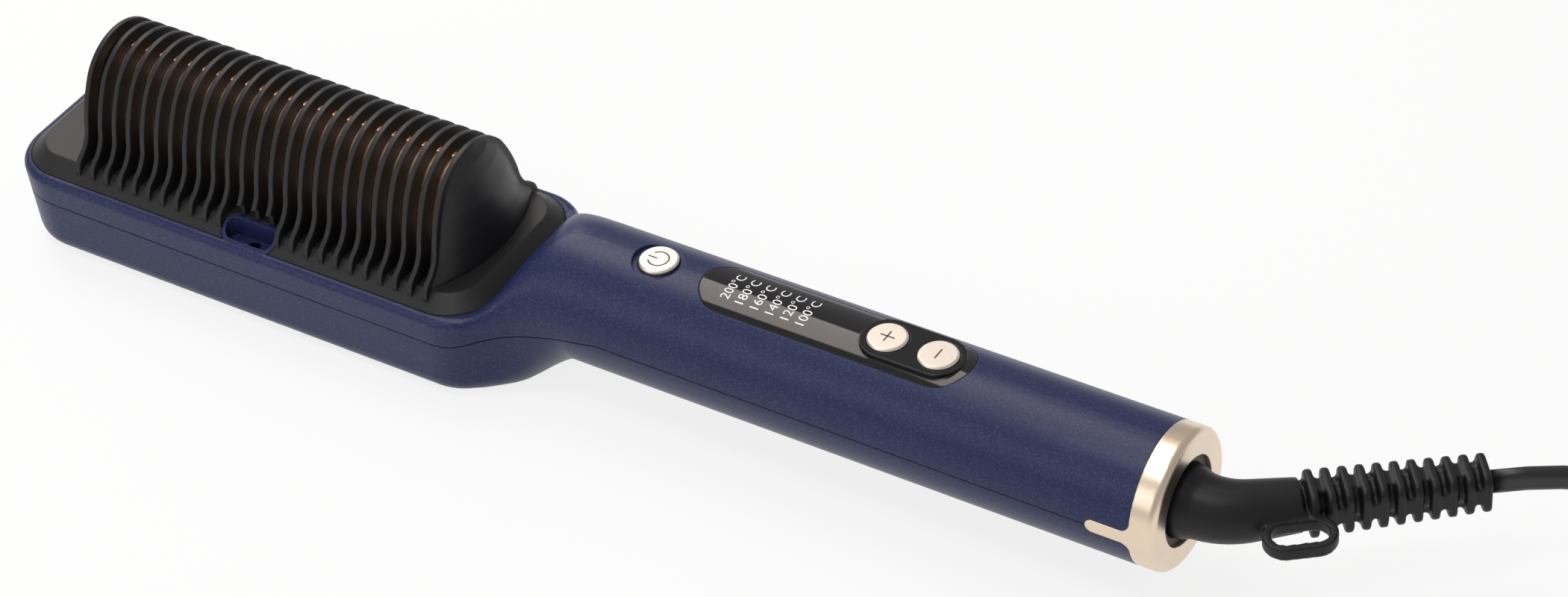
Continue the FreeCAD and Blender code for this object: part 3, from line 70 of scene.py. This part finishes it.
def material(name, colour, rough, grain, metal=0.0, bump=0.15, vary=0.12, rough_vary=0.08, edge=0.0,
             streak=None, fleck=None, shine=0.5):
    mat = bpy.data.materials.new(name)
    mat.use_nodes = True
    nodes = mat.node_tree.nodes
    links = mat.node_tree.links
    shader = nodes["Principled BSDF"]
    shader.inputs["Metallic"].default_value = metal
    shader.inputs["Specular IOR Level"].default_value = shine
    where = nodes.new("ShaderNodeTexCoord")
    spread = nodes.new("ShaderNodeMapping")
    if streak:
        spread.inputs["Scale"].default_value = streak
    links.new(where.outputs["Object"], spread.inputs["Vector"])
    fine = nodes.new("ShaderNodeTexNoise")
    fine.inputs["Scale"].default_value = grain
    fine.inputs["Detail"].default_value = 3.0
    links.new(spread.outputs["Vector"], fine.inputs["Vector"])
    broad = nodes.new("ShaderNodeTexNoise")
    broad.inputs["Scale"].default_value = BROAD_SCALE
    broad.inputs["Detail"].default_value = 4.0
    links.new(where.outputs["Object"], broad.inputs["Vector"])
    ramp = nodes.new("ShaderNodeValToRGB")
    darker, lighter = ramp.color_ramp.elements
    darker.position = 0.3
    darker.color = [c * (1 - vary) for c in colour] + [1]
    lighter.position = 0.7
    lighter.color = [min(1, c * (1 + vary)) for c in colour] + [1]
    links.new(broad.outputs["Fac"], ramp.inputs["Fac"])
    tint = ramp.outputs["Color"]
    if fleck:
        # Fine pale flakes in the moulding: some of the cells are mixed with the flake colour
        cells = nodes.new("ShaderNodeTexVoronoi")
        cells.inputs["Scale"].default_value = FLAKE_SCALE
        links.new(where.outputs["Object"], cells.inputs["Vector"])
        bright = nodes.new("ShaderNodeMapRange")
        bright.inputs["From Min"].default_value = FLAKE_FROM
        bright.inputs["From Max"].default_value = FLAKE_FULL
        bright.inputs["To Max"].default_value = FLAKE_MOST
        links.new(cells.outputs["Color"], bright.inputs["Value"])
        flakes = nodes.new("ShaderNodeMixRGB")
        flakes.inputs["Color2"].default_value = list(fleck) + [1]
        links.new(bright.outputs["Result"], flakes.inputs["Fac"])
        links.new(tint, flakes.inputs["Color1"])
        tint = flakes.outputs["Color"]
    links.new(tint, shader.inputs["Base Color"])
    gloss = nodes.new("ShaderNodeMapRange")
    gloss.inputs["To Min"].default_value = max(LEAST_ROUGH, rough - rough_vary)
    gloss.inputs["To Max"].default_value = rough + rough_vary
    links.new(fine.outputs["Fac"], gloss.inputs["Value"])
    links.new(gloss.outputs["Result"], shader.inputs["Roughness"])
    uneven = nodes.new("ShaderNodeBump")
    uneven.inputs["Strength"].default_value = bump
    uneven.inputs["Distance"].default_value = BUMP_DEPTH
    links.new(fine.outputs["Fac"], uneven.inputs["Height"])
    if edge:
        soft = nodes.new("ShaderNodeBevel")
        soft.samples = EDGE_SAMPLES
        soft.inputs["Radius"].default_value = edge
        links.new(soft.outputs["Normal"], uneven.inputs["Normal"])
    links.new(uneven.outputs["Normal"], shader.inputs["Normal"])
    return mat


LOOKS = {
    "navy_plastic": material("navy_satin", (0.013, 0.018, 0.074), 0.36, grain=5200, bump=0.25, vary=0.06,
                             edge=0.0004, fleck=(0.065, 0.075, 0.16), shine=0.3),
    "black_plastic": material("black_moulding", (0.012, 0.0113, 0.012), 0.45, grain=3200, bump=0.35,
                              edge=0.0006, shine=0.4),
    "copper_coat": material("copper_coat", (0.93, 0.62, 0.42), 0.42, grain=900, metal=1.0, bump=0.3,
                            edge=0.0003, streak=(0.05, 1, 1)),
    "ceramic": material("fired_ceramic", (0.78, 0.76, 0.70), 0.6, grain=1800, bump=0.4),
    "carrier_resin": material("heat_resin", (0.10, 0.085, 0.07), 0.55, grain=2000, bump=0.4),
    "aluminium": material("extruded_aluminium", (0.75, 0.75, 0.77), 0.35, grain=900, metal=1.0,
                          streak=(0.04, 1, 1)),
    "glass_bead": material("glazed_bead", (0.45, 0.18, 0.06), 0.12, grain=900, bump=0.1),
    "steel": material("zinc_steel", (0.60, 0.60, 0.61), 0.32, grain=1500, metal=1.0, bump=0.2, edge=0.0002),
    "board_green": material("solder_mask", (0.02, 0.14, 0.06), 0.35, grain=420, bump=0.5, vary=0.3),
    "switch_black": material("switch_moulding", (0.022, 0.022, 0.024), 0.45, grain=2600, bump=0.3),
    "lamp_white": material("lamp_resin", (0.80, 0.80, 0.74), 0.2, grain=900, bump=0.1),
    "guide_white": material("guide_moulding", (0.72, 0.72, 0.71), 0.5, grain=2400, bump=0.3),
    "capacitor_sleeve": material("shrink_sleeve", (0.03, 0.035, 0.08), 0.25, grain=700, bump=0.2),
    "button_gold": material("rose_gold_key", (0.86, 0.78, 0.69), 0.34, grain=4200, metal=1.0, vary=0.04,
                            edge=0.0003),
    "lens_black": material("gloss_window", (0.006, 0.0055, 0.006), 0.06, grain=300, bump=0.02,
                           rough_vary=0.02, edge=0.0004),
    "ring_gold": material("rose_gold_ring", (0.82, 0.675, 0.53), 0.30, grain=3600, metal=1.0, vary=0.04,
                          edge=0.0005),
    "brass": material("plain_brass", (0.78, 0.58, 0.28), 0.3, grain=1200, metal=1.0, bump=0.2),
    "black_rubber": material("soft_rubber", (0.009, 0.0085, 0.010), 0.45, grain=2600, bump=0.4, shine=0.3),
    "cord_rubber": material("cord_sheath", (0.016, 0.0155, 0.017), 0.4, grain=1800, bump=0.35),
    "tie_plastic": material("tie_strip", (0.03, 0.03, 0.033), 0.45, grain=2000, bump=0.3),
    "plug_plastic": material("plug_moulding", (0.014, 0.0135, 0.015), 0.45, grain=2400, bump=0.4,
                             edge=0.0006),
    "pin_nickel": material("nickel_pin", (0.80, 0.77, 0.72), 0.22, grain=1500, metal=1.0,
                           streak=(1, 1, 0.05)),
}
MARK = material("printed_mark", (0.86, 0.86, 0.86), 0.5, grain=5000, bump=0.1, vary=0.02)
ENGRAVED = material("engraved_line", (0.15, 0.10, 0.075), 0.75, grain=5000, bump=0.2, vary=0.1, shine=0.2)
SLOT_OF = {entry["node"]: entry["material_slot"] for entry in frame["record"]["subparts"]}
for name, obj in frame["nodes"].items():
    obj.data.materials.clear()
    obj.data.materials.append(LOOKS[SLOT_OF[name]])


# Helpers for the pieces that are made here
class Builder:
    """Collects closed tubes and hoops into one mesh. Points times unit are metres."""

    def __init__(self, unit):
        self.unit = unit
        self.verts = []
        self.faces = []

    def skin(self, rings, joins):
        """Faces between each ring of points and the next, for that many joins."""
        base = len(self.verts)
        count = len(rings[0])
        for ring in rings:
            self.verts += [Vector(point) * self.unit for point in ring]
        for layer in range(joins):
            here = base + layer * count
            following = base + (layer + 1) % len(rings) * count
            for k in range(count):
                beside = (k + 1) % count
                self.faces.append((here + k, here + beside, following + beside, following + k))

    def tube(self, rings):
        """A tube through the rings, with both ends closed."""
        base = len(self.verts)
        count = len(rings[0])
        self.skin(rings, len(rings) - 1)
        self.faces.append(tuple(base + k for k in range(count - 1, -1, -1)))
        top = len(self.verts) - count
        self.faces.append(tuple(top + k for k in range(count)))

    def hoop(self, rings):
        """A ring-shaped skin, whose last ring joins the first."""
        self.skin(rings, len(rings))


def mesh_piece(name, verts, faces, look, body, smooth=True):
    mesh = bpy.data.meshes.new(name)
    mesh.from_pydata([tuple(v) for v in verts], [], faces)
    mesh.validate()
    mesh.update()
    obj = collect(bpy.data.objects.new(name, mesh))
    obj.data.materials.append(look)
    for face in mesh.polygons:
        face.use_smooth = smooth
    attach(obj, body)
    return obj


def face_outwards(obj):
    mesh = bmesh.new()
    mesh.from_mesh(obj.data)
    bmesh.ops.recalc_face_normals(mesh, faces=mesh.faces)
    mesh.to_mesh(obj.data)
    mesh.free()


def apply_all(obj):
    """Bake an object's modifiers into its mesh."""
    graph = bpy.context.evaluated_depsgraph_get()
    done = bpy.data.meshes.new_from_object(obj.evaluated_get(graph))
    old = obj.data
    obj.modifiers.clear()
    obj.data = done
    bpy.data.meshes.remove(old)


def curve_mesh(curve):
    """The points and faces that a curve gives, after which the curve is removed."""
    holder = collect(bpy.data.objects.new(curve.name, curve))
    graph = bpy.context.evaluated_depsgraph_get()
    mesh = bpy.data.meshes.new_from_object(holder.evaluated_get(graph))
    verts = [vertex.co.copy() for vertex in mesh.vertices]
    faces = [tuple(face.vertices) for face in mesh.polygons]
    bpy.data.meshes.remove(mesh)
    bpy.data.objects.remove(holder)
    bpy.data.curves.remove(curve)
    return verts, faces


def flat_heading(degrees):
    return Vector((math.cos(math.radians(degrees)), math.sin(math.radians(degrees)), 0))


# Camera: the viewing angle, distance and slight tilt fitted to the photograph
VIEW_FROM = Vector((0.5235, -0.5556, 0.6142))
VIEW_RIGHT = Vector((0.8471, 0.5266, -0.0714))
VIEW_UP = Vector((-0.2951, 0.5779, 0.7610))
camera_data = bpy.data.cameras.new("view")
camera_data.sensor_fit = "HORIZONTAL"
camera_data.sensor_width = 36.0
camera_data.lens = 96.9
camera = collect(bpy.data.objects.new("view", camera_data))
right = VIEW_RIGHT.normalized()
up = (VIEW_UP - right * VIEW_UP.dot(right)).normalized()
back = right.cross(up)
facing = Matrix((right, up, back)).transposed()
camera.matrix_world = Matrix.Translation(VIEW_FROM) @ facing.to_4x4()
scene.camera = camera

# Cord route: the points of the free runs and a formula for the coil, the same as in the solids
ELBOW_START = 228.6
ELBOW_RADIUS = 15.0
ELBOW_ANGLE = 37.6
SLEEVE = 10.0
RIBS = 11
RIB_PITCH = 3.55
RELIEF_LENGTH = SLEEVE + RIBS * RIB_PITCH
CORD = 5.4
THICK = 3.4
COIL_GAP = 0.6
COIL_LIFT = 1.0
PITCH = CORD + COIL_GAP
LOW = COIL_LIFT + CORD / 2
TURNS = 4
CLIMB_TURNS = 0.5
INNER = 18.0
RUN = 25.0
DROP_RUN = 26.0
PLUG_HEIGHT = 13.7
PLUG_GAP = 0.05
TAIL_RISE = (CORD + PLUG_HEIGHT) / 2 + PLUG_GAP
TAIL_TURN = 44.0
TAIL_CLIMBS = (0.0, 0.35, 0.7, 1.0, 1.0)
POINTS_PER_TURN = 16
TINY_TURN = 0.01


def elbow_point(degrees):
    """The middle of the bent neck where it has turned by that much."""
    angle = math.radians(degrees)
    return Vector((ELBOW_START + ELBOW_RADIUS * math.sin(angle), ELBOW_RADIUS * (1 - math.cos(angle)),
                   HANDLE_AXIS))


bend_end = elbow_point(ELBOW_ANGLE)
leave = flat_heading(ELBOW_ANGLE)
relief_end = bend_end + leave * RELIEF_LENGTH
entry_angle = ELBOW_ANGLE / 2
entry = flat_heading(entry_angle)
corner = relief_end + leave * RUN
drop = corner + flat_heading((ELBOW_ANGLE + entry_angle) / 2) * DROP_RUN
drop.z = LOW
settle = drop + entry * RUN
coil_start = settle + entry * CORD
outermost = INNER + PITCH * TURNS
centre = coil_start + Vector((entry.y, -entry.x, 0)) * outermost


def coil_point(turn):
    """Spiral in, climb one layer in the half turn where it reverses, and spiral out on top."""
    reversal = TURNS + CLIMB_TURNS / 2
    reach = outermost - PITCH * reversal + PITCH * abs(turn - reversal)
    climb = min(max((turn - TURNS) / CLIMB_TURNS, 0), 1)
    height = LOW + PITCH * (1 - math.cos(math.pi * climb)) / 2
    way_out = flat_heading(entry_angle + 90 - 360 * turn)
    return Vector((centre.x + reach * way_out.x, centre.y + reach * way_out.y, height))


wound = 2 * TURNS + CLIMB_TURNS
coil = [coil_point(n / POINTS_PER_TURN) for n in range(int(wound * POINTS_PER_TURN) + 1)]
last_way = coil_point(wound + TINY_TURN) - coil_point(wound - TINY_TURN)
last_way.z = 0
last_way.normalize()
coil_exit = coil[-1] + last_way * CORD
# The tail turns back over the coil, so that the plug lies on top of it
tail = [coil_exit]
tail_angle = math.degrees(math.atan2(last_way.y, last_way.x))
for climb in TAIL_CLIMBS:
    onto = tail[-1] + flat_heading(tail_angle) * RUN
    onto.z = coil_exit.z + TAIL_RISE * climb
    tail.append(onto)
    tail_angle -= TAIL_TURN
route = [relief_end, corner, drop, settle] + coil + tail


def spline_points(points):
    """The smooth line of a route in metres, read from its curve."""
    curve = bpy.data.curves.new("cord_route", "CURVE")
    curve.dimensions = "3D"
    curve.resolution_u = 6
    spline = curve.splines.new("NURBS")
    spline.points.add(len(points) - 1)
    for point, at in zip(spline.points, points):
        point.co = (at.x * MM, at.y * MM, at.z * MM, 1)
    spline.order_u = 3
    spline.use_endpoint_u = True
    return curve_mesh(curve)[0]


# Flat two-core section, standing on edge: two round cores, one above the other, with a shallow valley
SECTION_STEPS = 24
SQUARENESS = 0.8
VALLEY_DEPTH = 0.16
VALLEY_WIDTH = 0.7


def squared(value):
    """A sine or cosine bent so that the section is fuller than an ellipse."""
    return math.copysign(abs(value) ** SQUARENESS, value)


section = []
for step in range(SECTION_STEPS):
    angle = 2 * math.pi * step / SECTION_STEPS
    rise = CORD / 2 * squared(math.cos(angle))
    valley = 1 - VALLEY_DEPTH * math.exp(-(rise / VALLEY_WIDTH) ** 2)
    thin = THICK / 2 * squared(math.sin(angle)) * valley
    section.append((-thin * MM, rise * MM))
line = spline_points(route)
rings = []
for n, at in enumerate(line):
    way = (line[min(n + 1, len(line) - 1)] - line[max(n - 1, 0)]).normalized()
    level = UPRIGHT.cross(way).normalized()
    rise = way.cross(level)
    rings.append([at + level * a + rise * b for a, b in section])
lead = Builder(1.0)
lead.tube(rings)
cord = mesh_piece("mains_cord", lead.verts, lead.faces, LOOKS["cord_rubber"], "cord_swivel")
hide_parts("cord_lead", "cord_coil", "cord_tail")

# Cord relief: bent neck, plain sleeve, ribs, bridges and hanging loop, melted into one soft moulding
NECK_RADIUS = 7.15
NECK_TAPER = 0.65
NECK_STEPS = 10
# Each pair is a place along the handle and the neck's radius there
NECK_ROOT = ((216.0, 8.1), (225.6, 8.1), (226.6, 7.9), (227.6, 7.5), (ELBOW_START, NECK_RADIUS))
SLEEVE_RADIUS = 6.5
SLEEVE_TAPER = 0.8
SLEEVE_REACH = 10.4
SLEEVE_STEPS = 6
CORE_START = 5.0
CORE_RADIUS = 3.5
RIB_HALF = 5.7
RIB_TAPER = 0.8
RIB_THICK = 1.9
# Each pair is a place through the rib and how far its outline draws in there
RIB_PROFILE = ((0.0, 0.35), (0.3, 0.0), (1.6, 0.0), (RIB_THICK, 0.35))
RIB_CORNER_SHARE = 0.42
RIB_CORNER_STEPS = 5
BRIDGE_SHARE = 0.9
BRIDGE_HALF = 2.1
BRIDGE_BACK = 1.75
BRIDGE_INTO = 0.1
LOOP_START = 2.6
LOOP_END = 14.6
LOOP_SIDE = -9.6
SLOT_HALF = 3.0
LOOP_WALL = 1.8
LOOP_HALF_TALL = 1.5
LOOP_STEPS = 48
ROUND_STEPS = 40
MELT_SIZE = 0.0004
EASE_FACTOR = 0.5
EASE_TIMES = 3
leave_side = Vector((-leave.y, leave.x, 0))


def local(u, v, w):
    """A point u along the relief's straight run, v to its side and w up."""
    return bend_end + leave * u + leave_side * v + Vector((0, 0, w))


def circle(middle, way, radius):
    level = UPRIGHT.cross(way).normalized()
    rise = way.cross(level)
    ring = []
    for k in range(ROUND_STEPS):
        angle = 2 * math.pi * k / ROUND_STEPS
        ring.append(middle + level * (radius * math.cos(angle)) + rise * (radius * math.sin(angle)))
    return ring


def rounded_square(half, rounding):
    reach = (half - rounding) * math.sqrt(2)
    out = []
    for quarter in range(4):
        turned = quarter * math.pi / 2
        middle = turned + math.pi / 4
        for step in range(RIB_CORNER_STEPS + 1):
            angle = turned + step * math.pi / 2 / RIB_CORNER_STEPS
            out.append((math.cos(middle) * reach + math.cos(angle) * rounding,
                        math.sin(middle) * reach + math.sin(angle) * rounding))
    return out


def loop_ring(radius, height):
    """Two half circles round the ends of the loop's slot, joined by straight runs."""
    ring = []
    for step in range(LOOP_STEPS):
        share = step / LOOP_STEPS
        end = LOOP_START + SLOT_HALF if share < 0.5 else LOOP_END - SLOT_HALF
        angle = math.pi * (0.5 + share * 2)
        ring.append(local(end + radius * math.cos(angle), LOOP_SIDE + radius * math.sin(angle), height))
    return ring


moulding = Builder(MM)
rings = [circle(Vector((x, 0, HANDLE_AXIS)), flat_heading(0), radius) for x, radius in NECK_ROOT]
for step in range(1, NECK_STEPS + 1):
    share = step / NECK_STEPS
    turned = ELBOW_ANGLE * share
    rings.append(circle(elbow_point(turned), flat_heading(turned), NECK_RADIUS - NECK_TAPER * share))
for step in range(1, SLEEVE_STEPS + 1):
    share = step / SLEEVE_STEPS
    rings.append(circle(local(SLEEVE_REACH * share, 0, 0), leave, SLEEVE_RADIUS - SLEEVE_TAPER * share))
moulding.tube(rings)
moulding.tube([circle(local(u, 0, 0), leave, CORE_RADIUS) for u in (CORE_START, RELIEF_LENGTH)])
for n in range(RIBS):
    half = RIB_HALF - RIB_TAPER * n / (RIBS - 1)
    start = SLEEVE + RIB_PITCH * (n + 1) - RIB_THICK
    rings = []
    for u, shrink in RIB_PROFILE:
        outline = rounded_square(half - shrink, half * RIB_CORNER_SHARE)
        rings.append([local(start + u, a, b) for a, b in outline])
    moulding.tube(rings)
    # A bridge joins the rib to the one before it, level and upright by turns
    reach = half * BRIDGE_SHARE
    wide, tall = (BRIDGE_HALF, reach) if n % 2 else (reach, BRIDGE_HALF)
    corners = [(-wide, -tall), (wide, -tall), (wide, tall), (-wide, tall)]
    moulding.tube([[local(u, a, b) for a, b in corners] for u in (start - BRIDGE_BACK, start + BRIDGE_INTO)])
# The loop is a flat strip bent round a slot, on the side towards the viewer
loop_radius = SLOT_HALF + LOOP_WALL
moulding.hoop([loop_ring(loop_radius, -LOOP_HALF_TALL), loop_ring(loop_radius, LOOP_HALF_TALL),
               loop_ring(SLOT_HALF, LOOP_HALF_TALL), loop_ring(SLOT_HALF, -LOOP_HALF_TALL)])
boot = mesh_piece("ribbed_relief", moulding.verts, moulding.faces, LOOKS["black_rubber"],
                  "cord_swivel")
face_outwards(boot)
melt = boot.modifiers.new("melt", "REMESH")
melt.mode = "VOXEL"
melt.voxel_size = MELT_SIZE
melt.use_smooth_shade = True
ease = boot.modifiers.new("ease", "SMOOTH")
ease.factor = EASE_FACTOR
ease.iterations = EASE_TIMES
apply_all(boot)
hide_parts("cord_relief")

# Tie: a flat strip round the bundle of turns
TIE_TURN = 130.0
TIE_INSIDE = 3.2
TIE_OUTSIDE = 0.9
TIE_ROOM = 0.3
TIE_CORNER = 2.0
TIE_CORNER_STEPS = 6
# Each pair is how far the ring grows and its place across the strip
TIE_PROFILE = ((0.0, -4.0), (0.5, -3.7), (0.7, 0.0), (0.5, 3.7), (0.0, 4.0))
outward = flat_heading(entry_angle + 90 - TIE_TURN)
along_tie = Vector((-outward.y, outward.x, 0))
tie_in = INNER - TIE_INSIDE
tie_out = outermost + TIE_OUTSIDE
tie_low = LOW - CORD / 2 - TIE_ROOM
tie_high = LOW + PITCH + CORD / 2 + TIE_ROOM
tie_middle = centre + outward * ((tie_in + tie_out) / 2)
tie_middle.z = (tie_low + tie_high) / 2


def tie_ring(grow, shift):
    half = (tie_out - tie_in) / 2 + grow
    tall = (tie_high - tie_low) / 2 + grow
    rounding = TIE_CORNER + grow
    ring = []
    for quarter, (side, rise) in enumerate(((1, 1), (-1, 1), (-1, -1), (1, -1))):
        for step in range(TIE_CORNER_STEPS + 1):
            angle = (quarter + step / TIE_CORNER_STEPS) * math.pi / 2
            a = side * (half - rounding) + rounding * math.cos(angle)
            b = rise * (tall - rounding) + rounding * math.sin(angle)
            ring.append(tie_middle + outward * a + along_tie * shift + UPRIGHT * b)
    return ring


band = Builder(MM)
band.hoop([tie_ring(grow, shift) for grow, shift in TIE_PROFILE])
tie = mesh_piece("bundle_tie", band.verts, band.faces, LOOKS["tie_plastic"], "cord_swivel")
face_outwards(tie)
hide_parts("coil_tie")

# Printed temperatures on the window, read across the handle
LABEL_LONG = 8.0
LABEL_TALL = 2.3
LABEL_FIRST = 116.8
LABEL_STEP = 3.77
PRINT_LIFT = 0.03


def flat_text(words):
    """The outline of some words, moved and stretched to run from 0 to 1 both ways."""
    curve = bpy.data.curves.new("words", "FONT")
    curve.body = words
    curve.size = 1.0
    curve.resolution_u = 5
    verts, faces = curve_mesh(curve)
    low_x = min(v.x for v in verts)
    low_y = min(v.y for v in verts)
    span_x = max(v.x for v in verts) - low_x
    span_y = max(v.y for v in verts) - low_y
    return [((v.x - low_x) / span_x, (v.y - low_y) / span_y) for v in verts], faces


for n, degrees in enumerate(("200", "180", "160", "140", "120", "100")):
    verts, faces = flat_text(degrees + "°C")
    placed = []
    for across, along in verts:
        x = LABEL_FIRST + LABEL_STEP * n + LABEL_TALL / 2 - along * LABEL_TALL
        y = -LABEL_LONG / 2 + across * LABEL_LONG
        z = HANDLE_AXIS + math.sqrt((HANDLE_RADIUS + PRINT_LIFT) ** 2 - y * y)
        placed.append(Vector((x, y, z)) * MM)
    mesh_piece("mark_" + degrees, placed, faces, MARK, "casing", smooth=False)

# Signs on the keys: narrow dark ribbons that stand just proud of each key
SIGN_HALF = 0.19
SIGN_DEEP = 0.3
POWER_PLACE = 97.8
PLUS_PLACE = 155.1
MINUS_PLACE = 167.4
POWER_RISE = 0.22
WINDOW_KEY_RISE = 0.92
POWER_RADIUS = 2.3
POWER_GAP = 35
ARC_STEPS = 30
BAR_FROM = 2.6
BAR_TO = 0.3
PLUS_HALF = 1.7
MINUS_HALF = 1.6


def ribbon(points, top):
    """A narrow flat ribbon along points in plan, with its upper face at top."""
    left = []
    right_side = []
    for n, at in enumerate(points):
        way = (points[min(n + 1, len(points) - 1)] - points[max(n - 1, 0)]).normalized()
        across = Vector((-way.y, way.x))
        left.append(at + across * SIGN_HALF)
        right_side.append(at - across * SIGN_HALF)
    ring = left + right_side[::-1]
    count = len(ring)
    verts = [Vector((p.x, p.y, height)) * MM for height in (top, top - SIGN_DEEP) for p in ring]
    faces = []
    for n in range(len(points) - 1):
        faces.append((n, n + 1, count - 2 - n, count - 1 - n))
        faces.append((count + n, 2 * count - 1 - n, 2 * count - 2 - n, count + n + 1))
    for k in range(count):
        faces.append((k, count + k, count + (k + 1) % count, (k + 1) % count))
    return verts, faces


def sign(name, body, rise, strokes):
    verts = []
    faces = []
    for points in strokes:
        more, extra = ribbon([Vector(point) for point in points], HANDLE_AXIS + HANDLE_RADIUS + rise)
        shift = len(verts)
        verts += more
        faces += [tuple(i + shift for i in face) for face in extra]
    mesh_piece(name, verts, faces, ENGRAVED, body, smooth=False)


arc = []
for step in range(ARC_STEPS + 1):
    turned = 180 + POWER_GAP + (360 - 2 * POWER_GAP) * step / ARC_STEPS
    at = flat_heading(turned) * POWER_RADIUS
    arc.append((POWER_PLACE + at.x, at.y))
power_bar = [(POWER_PLACE - BAR_FROM, 0), (POWER_PLACE - BAR_TO, 0)]
along_bar = [(PLUS_PLACE - PLUS_HALF, 0), (PLUS_PLACE + PLUS_HALF, 0)]
across_bar = [(PLUS_PLACE, -PLUS_HALF), (PLUS_PLACE, PLUS_HALF)]
minus_bar = [(MINUS_PLACE, -MINUS_HALF), (MINUS_PLACE, MINUS_HALF)]
sign("power_sign", "power_key", POWER_RISE, [arc, power_bar])
sign("plus_sign", "plus_key", WINDOW_KEY_RISE, [along_bar, across_bar])
sign("minus_sign", "minus_key", WINDOW_KEY_RISE, [minus_bar])

# Studio: pale table, white surround and large soft lamps
TABLE_HALF = 4
TABLE_COLOUR = (0.86, 0.86, 0.86, 1)
TABLE_WHITE = 0.82
SURROUND = 0.45
floor_mesh = bpy.data.meshes.new("table")
floor_corners = [(TABLE_HALF * x, TABLE_HALF * y, 0) for x, y in ((-1, -1), (1, -1), (1, 1), (-1, 1))]
floor_mesh.from_pydata(floor_corners, [], [(0, 1, 2, 3)])
table = collect(bpy.data.objects.new("table", floor_mesh))
table_look = bpy.data.materials.new("table_white")
table_look.use_nodes = True
table_nodes = table_look.node_tree.nodes
table_links = table_look.node_tree.links
table_shader = table_nodes["Principled BSDF"]
table_shader.inputs["Base Color"].default_value = TABLE_COLOUR
table_shader.inputs["Roughness"].default_value = 0.7
# Seen directly, in a mirror or through glass, the table is part white, and the rest keeps the shadow
glow = table_nodes.new("ShaderNodeEmission")
glow.inputs["Strength"].default_value = 1.0
pick = table_nodes.new("ShaderNodeLightPath")
seen = pick.outputs["Is Camera Ray"]
for ray in ("Is Glossy Ray", "Is Transmission Ray"):
    either = table_nodes.new("ShaderNodeMath")
    either.operation = "MAXIMUM"
    table_links.new(seen, either.inputs[0])
    table_links.new(pick.outputs[ray], either.inputs[1])
    seen = either.outputs["Value"]
part_white = table_nodes.new("ShaderNodeMath")
part_white.operation = "MULTIPLY"
part_white.inputs[1].default_value = TABLE_WHITE
blend_in = table_nodes.new("ShaderNodeMixShader")
table_links.new(seen, part_white.inputs[0])
table_links.new(part_white.outputs["Value"], blend_in.inputs["Fac"])
table_links.new(table_shader.outputs["BSDF"], blend_in.inputs[1])
table_links.new(glow.outputs["Emission"], blend_in.inputs[2])
table_links.new(blend_in.outputs["Shader"], table_nodes["Material Output"].inputs["Surface"])
floor_mesh.materials.append(table_look)

world = bpy.data.worlds.new("surround")
scene.world = world
world.use_nodes = True
sky = world.node_tree.nodes["Background"]
sky.inputs["Color"].default_value = (1, 1, 1, 1)
sky.inputs["Strength"].default_value = SURROUND


def lamp(name, at, aim, size, power, colour=(1.0, 1.0, 1.0)):
    data = bpy.data.lights.new(name, "AREA")
    data.shape = "RECTANGLE"
    data.color = colour
    data.size, data.size_y = size
    data.energy = power
    obj = collect(bpy.data.objects.new(name, data))
    obj.location = at
    obj.rotation_euler = (Vector(aim) - Vector(at)).to_track_quat("-Z", "Y").to_euler()


lamp("top_soft", (-0.31, 0.26, 0.90), (0.12, 0.0, 0.03), (0.5, 0.6), 3.6, (1.0, 0.91, 0.86))
lamp("back_soft", (-1.00, 0.76, 0.85), (0.0, 0.0, 0.02), (0.6, 0.5), 3.2, (1.0, 0.96, 0.92))
lamp("comb_soft", (0.04, -0.27, 0.95), (0.04, 0.0, 0.04), (0.3, 0.3), 2.4)
lamp("front_soft", (-0.35, -0.9, 0.55), (0.08, 0.0, 0.02), (0.8, 0.6), 1.8)

scene.view_settings.view_transform = "Standard"
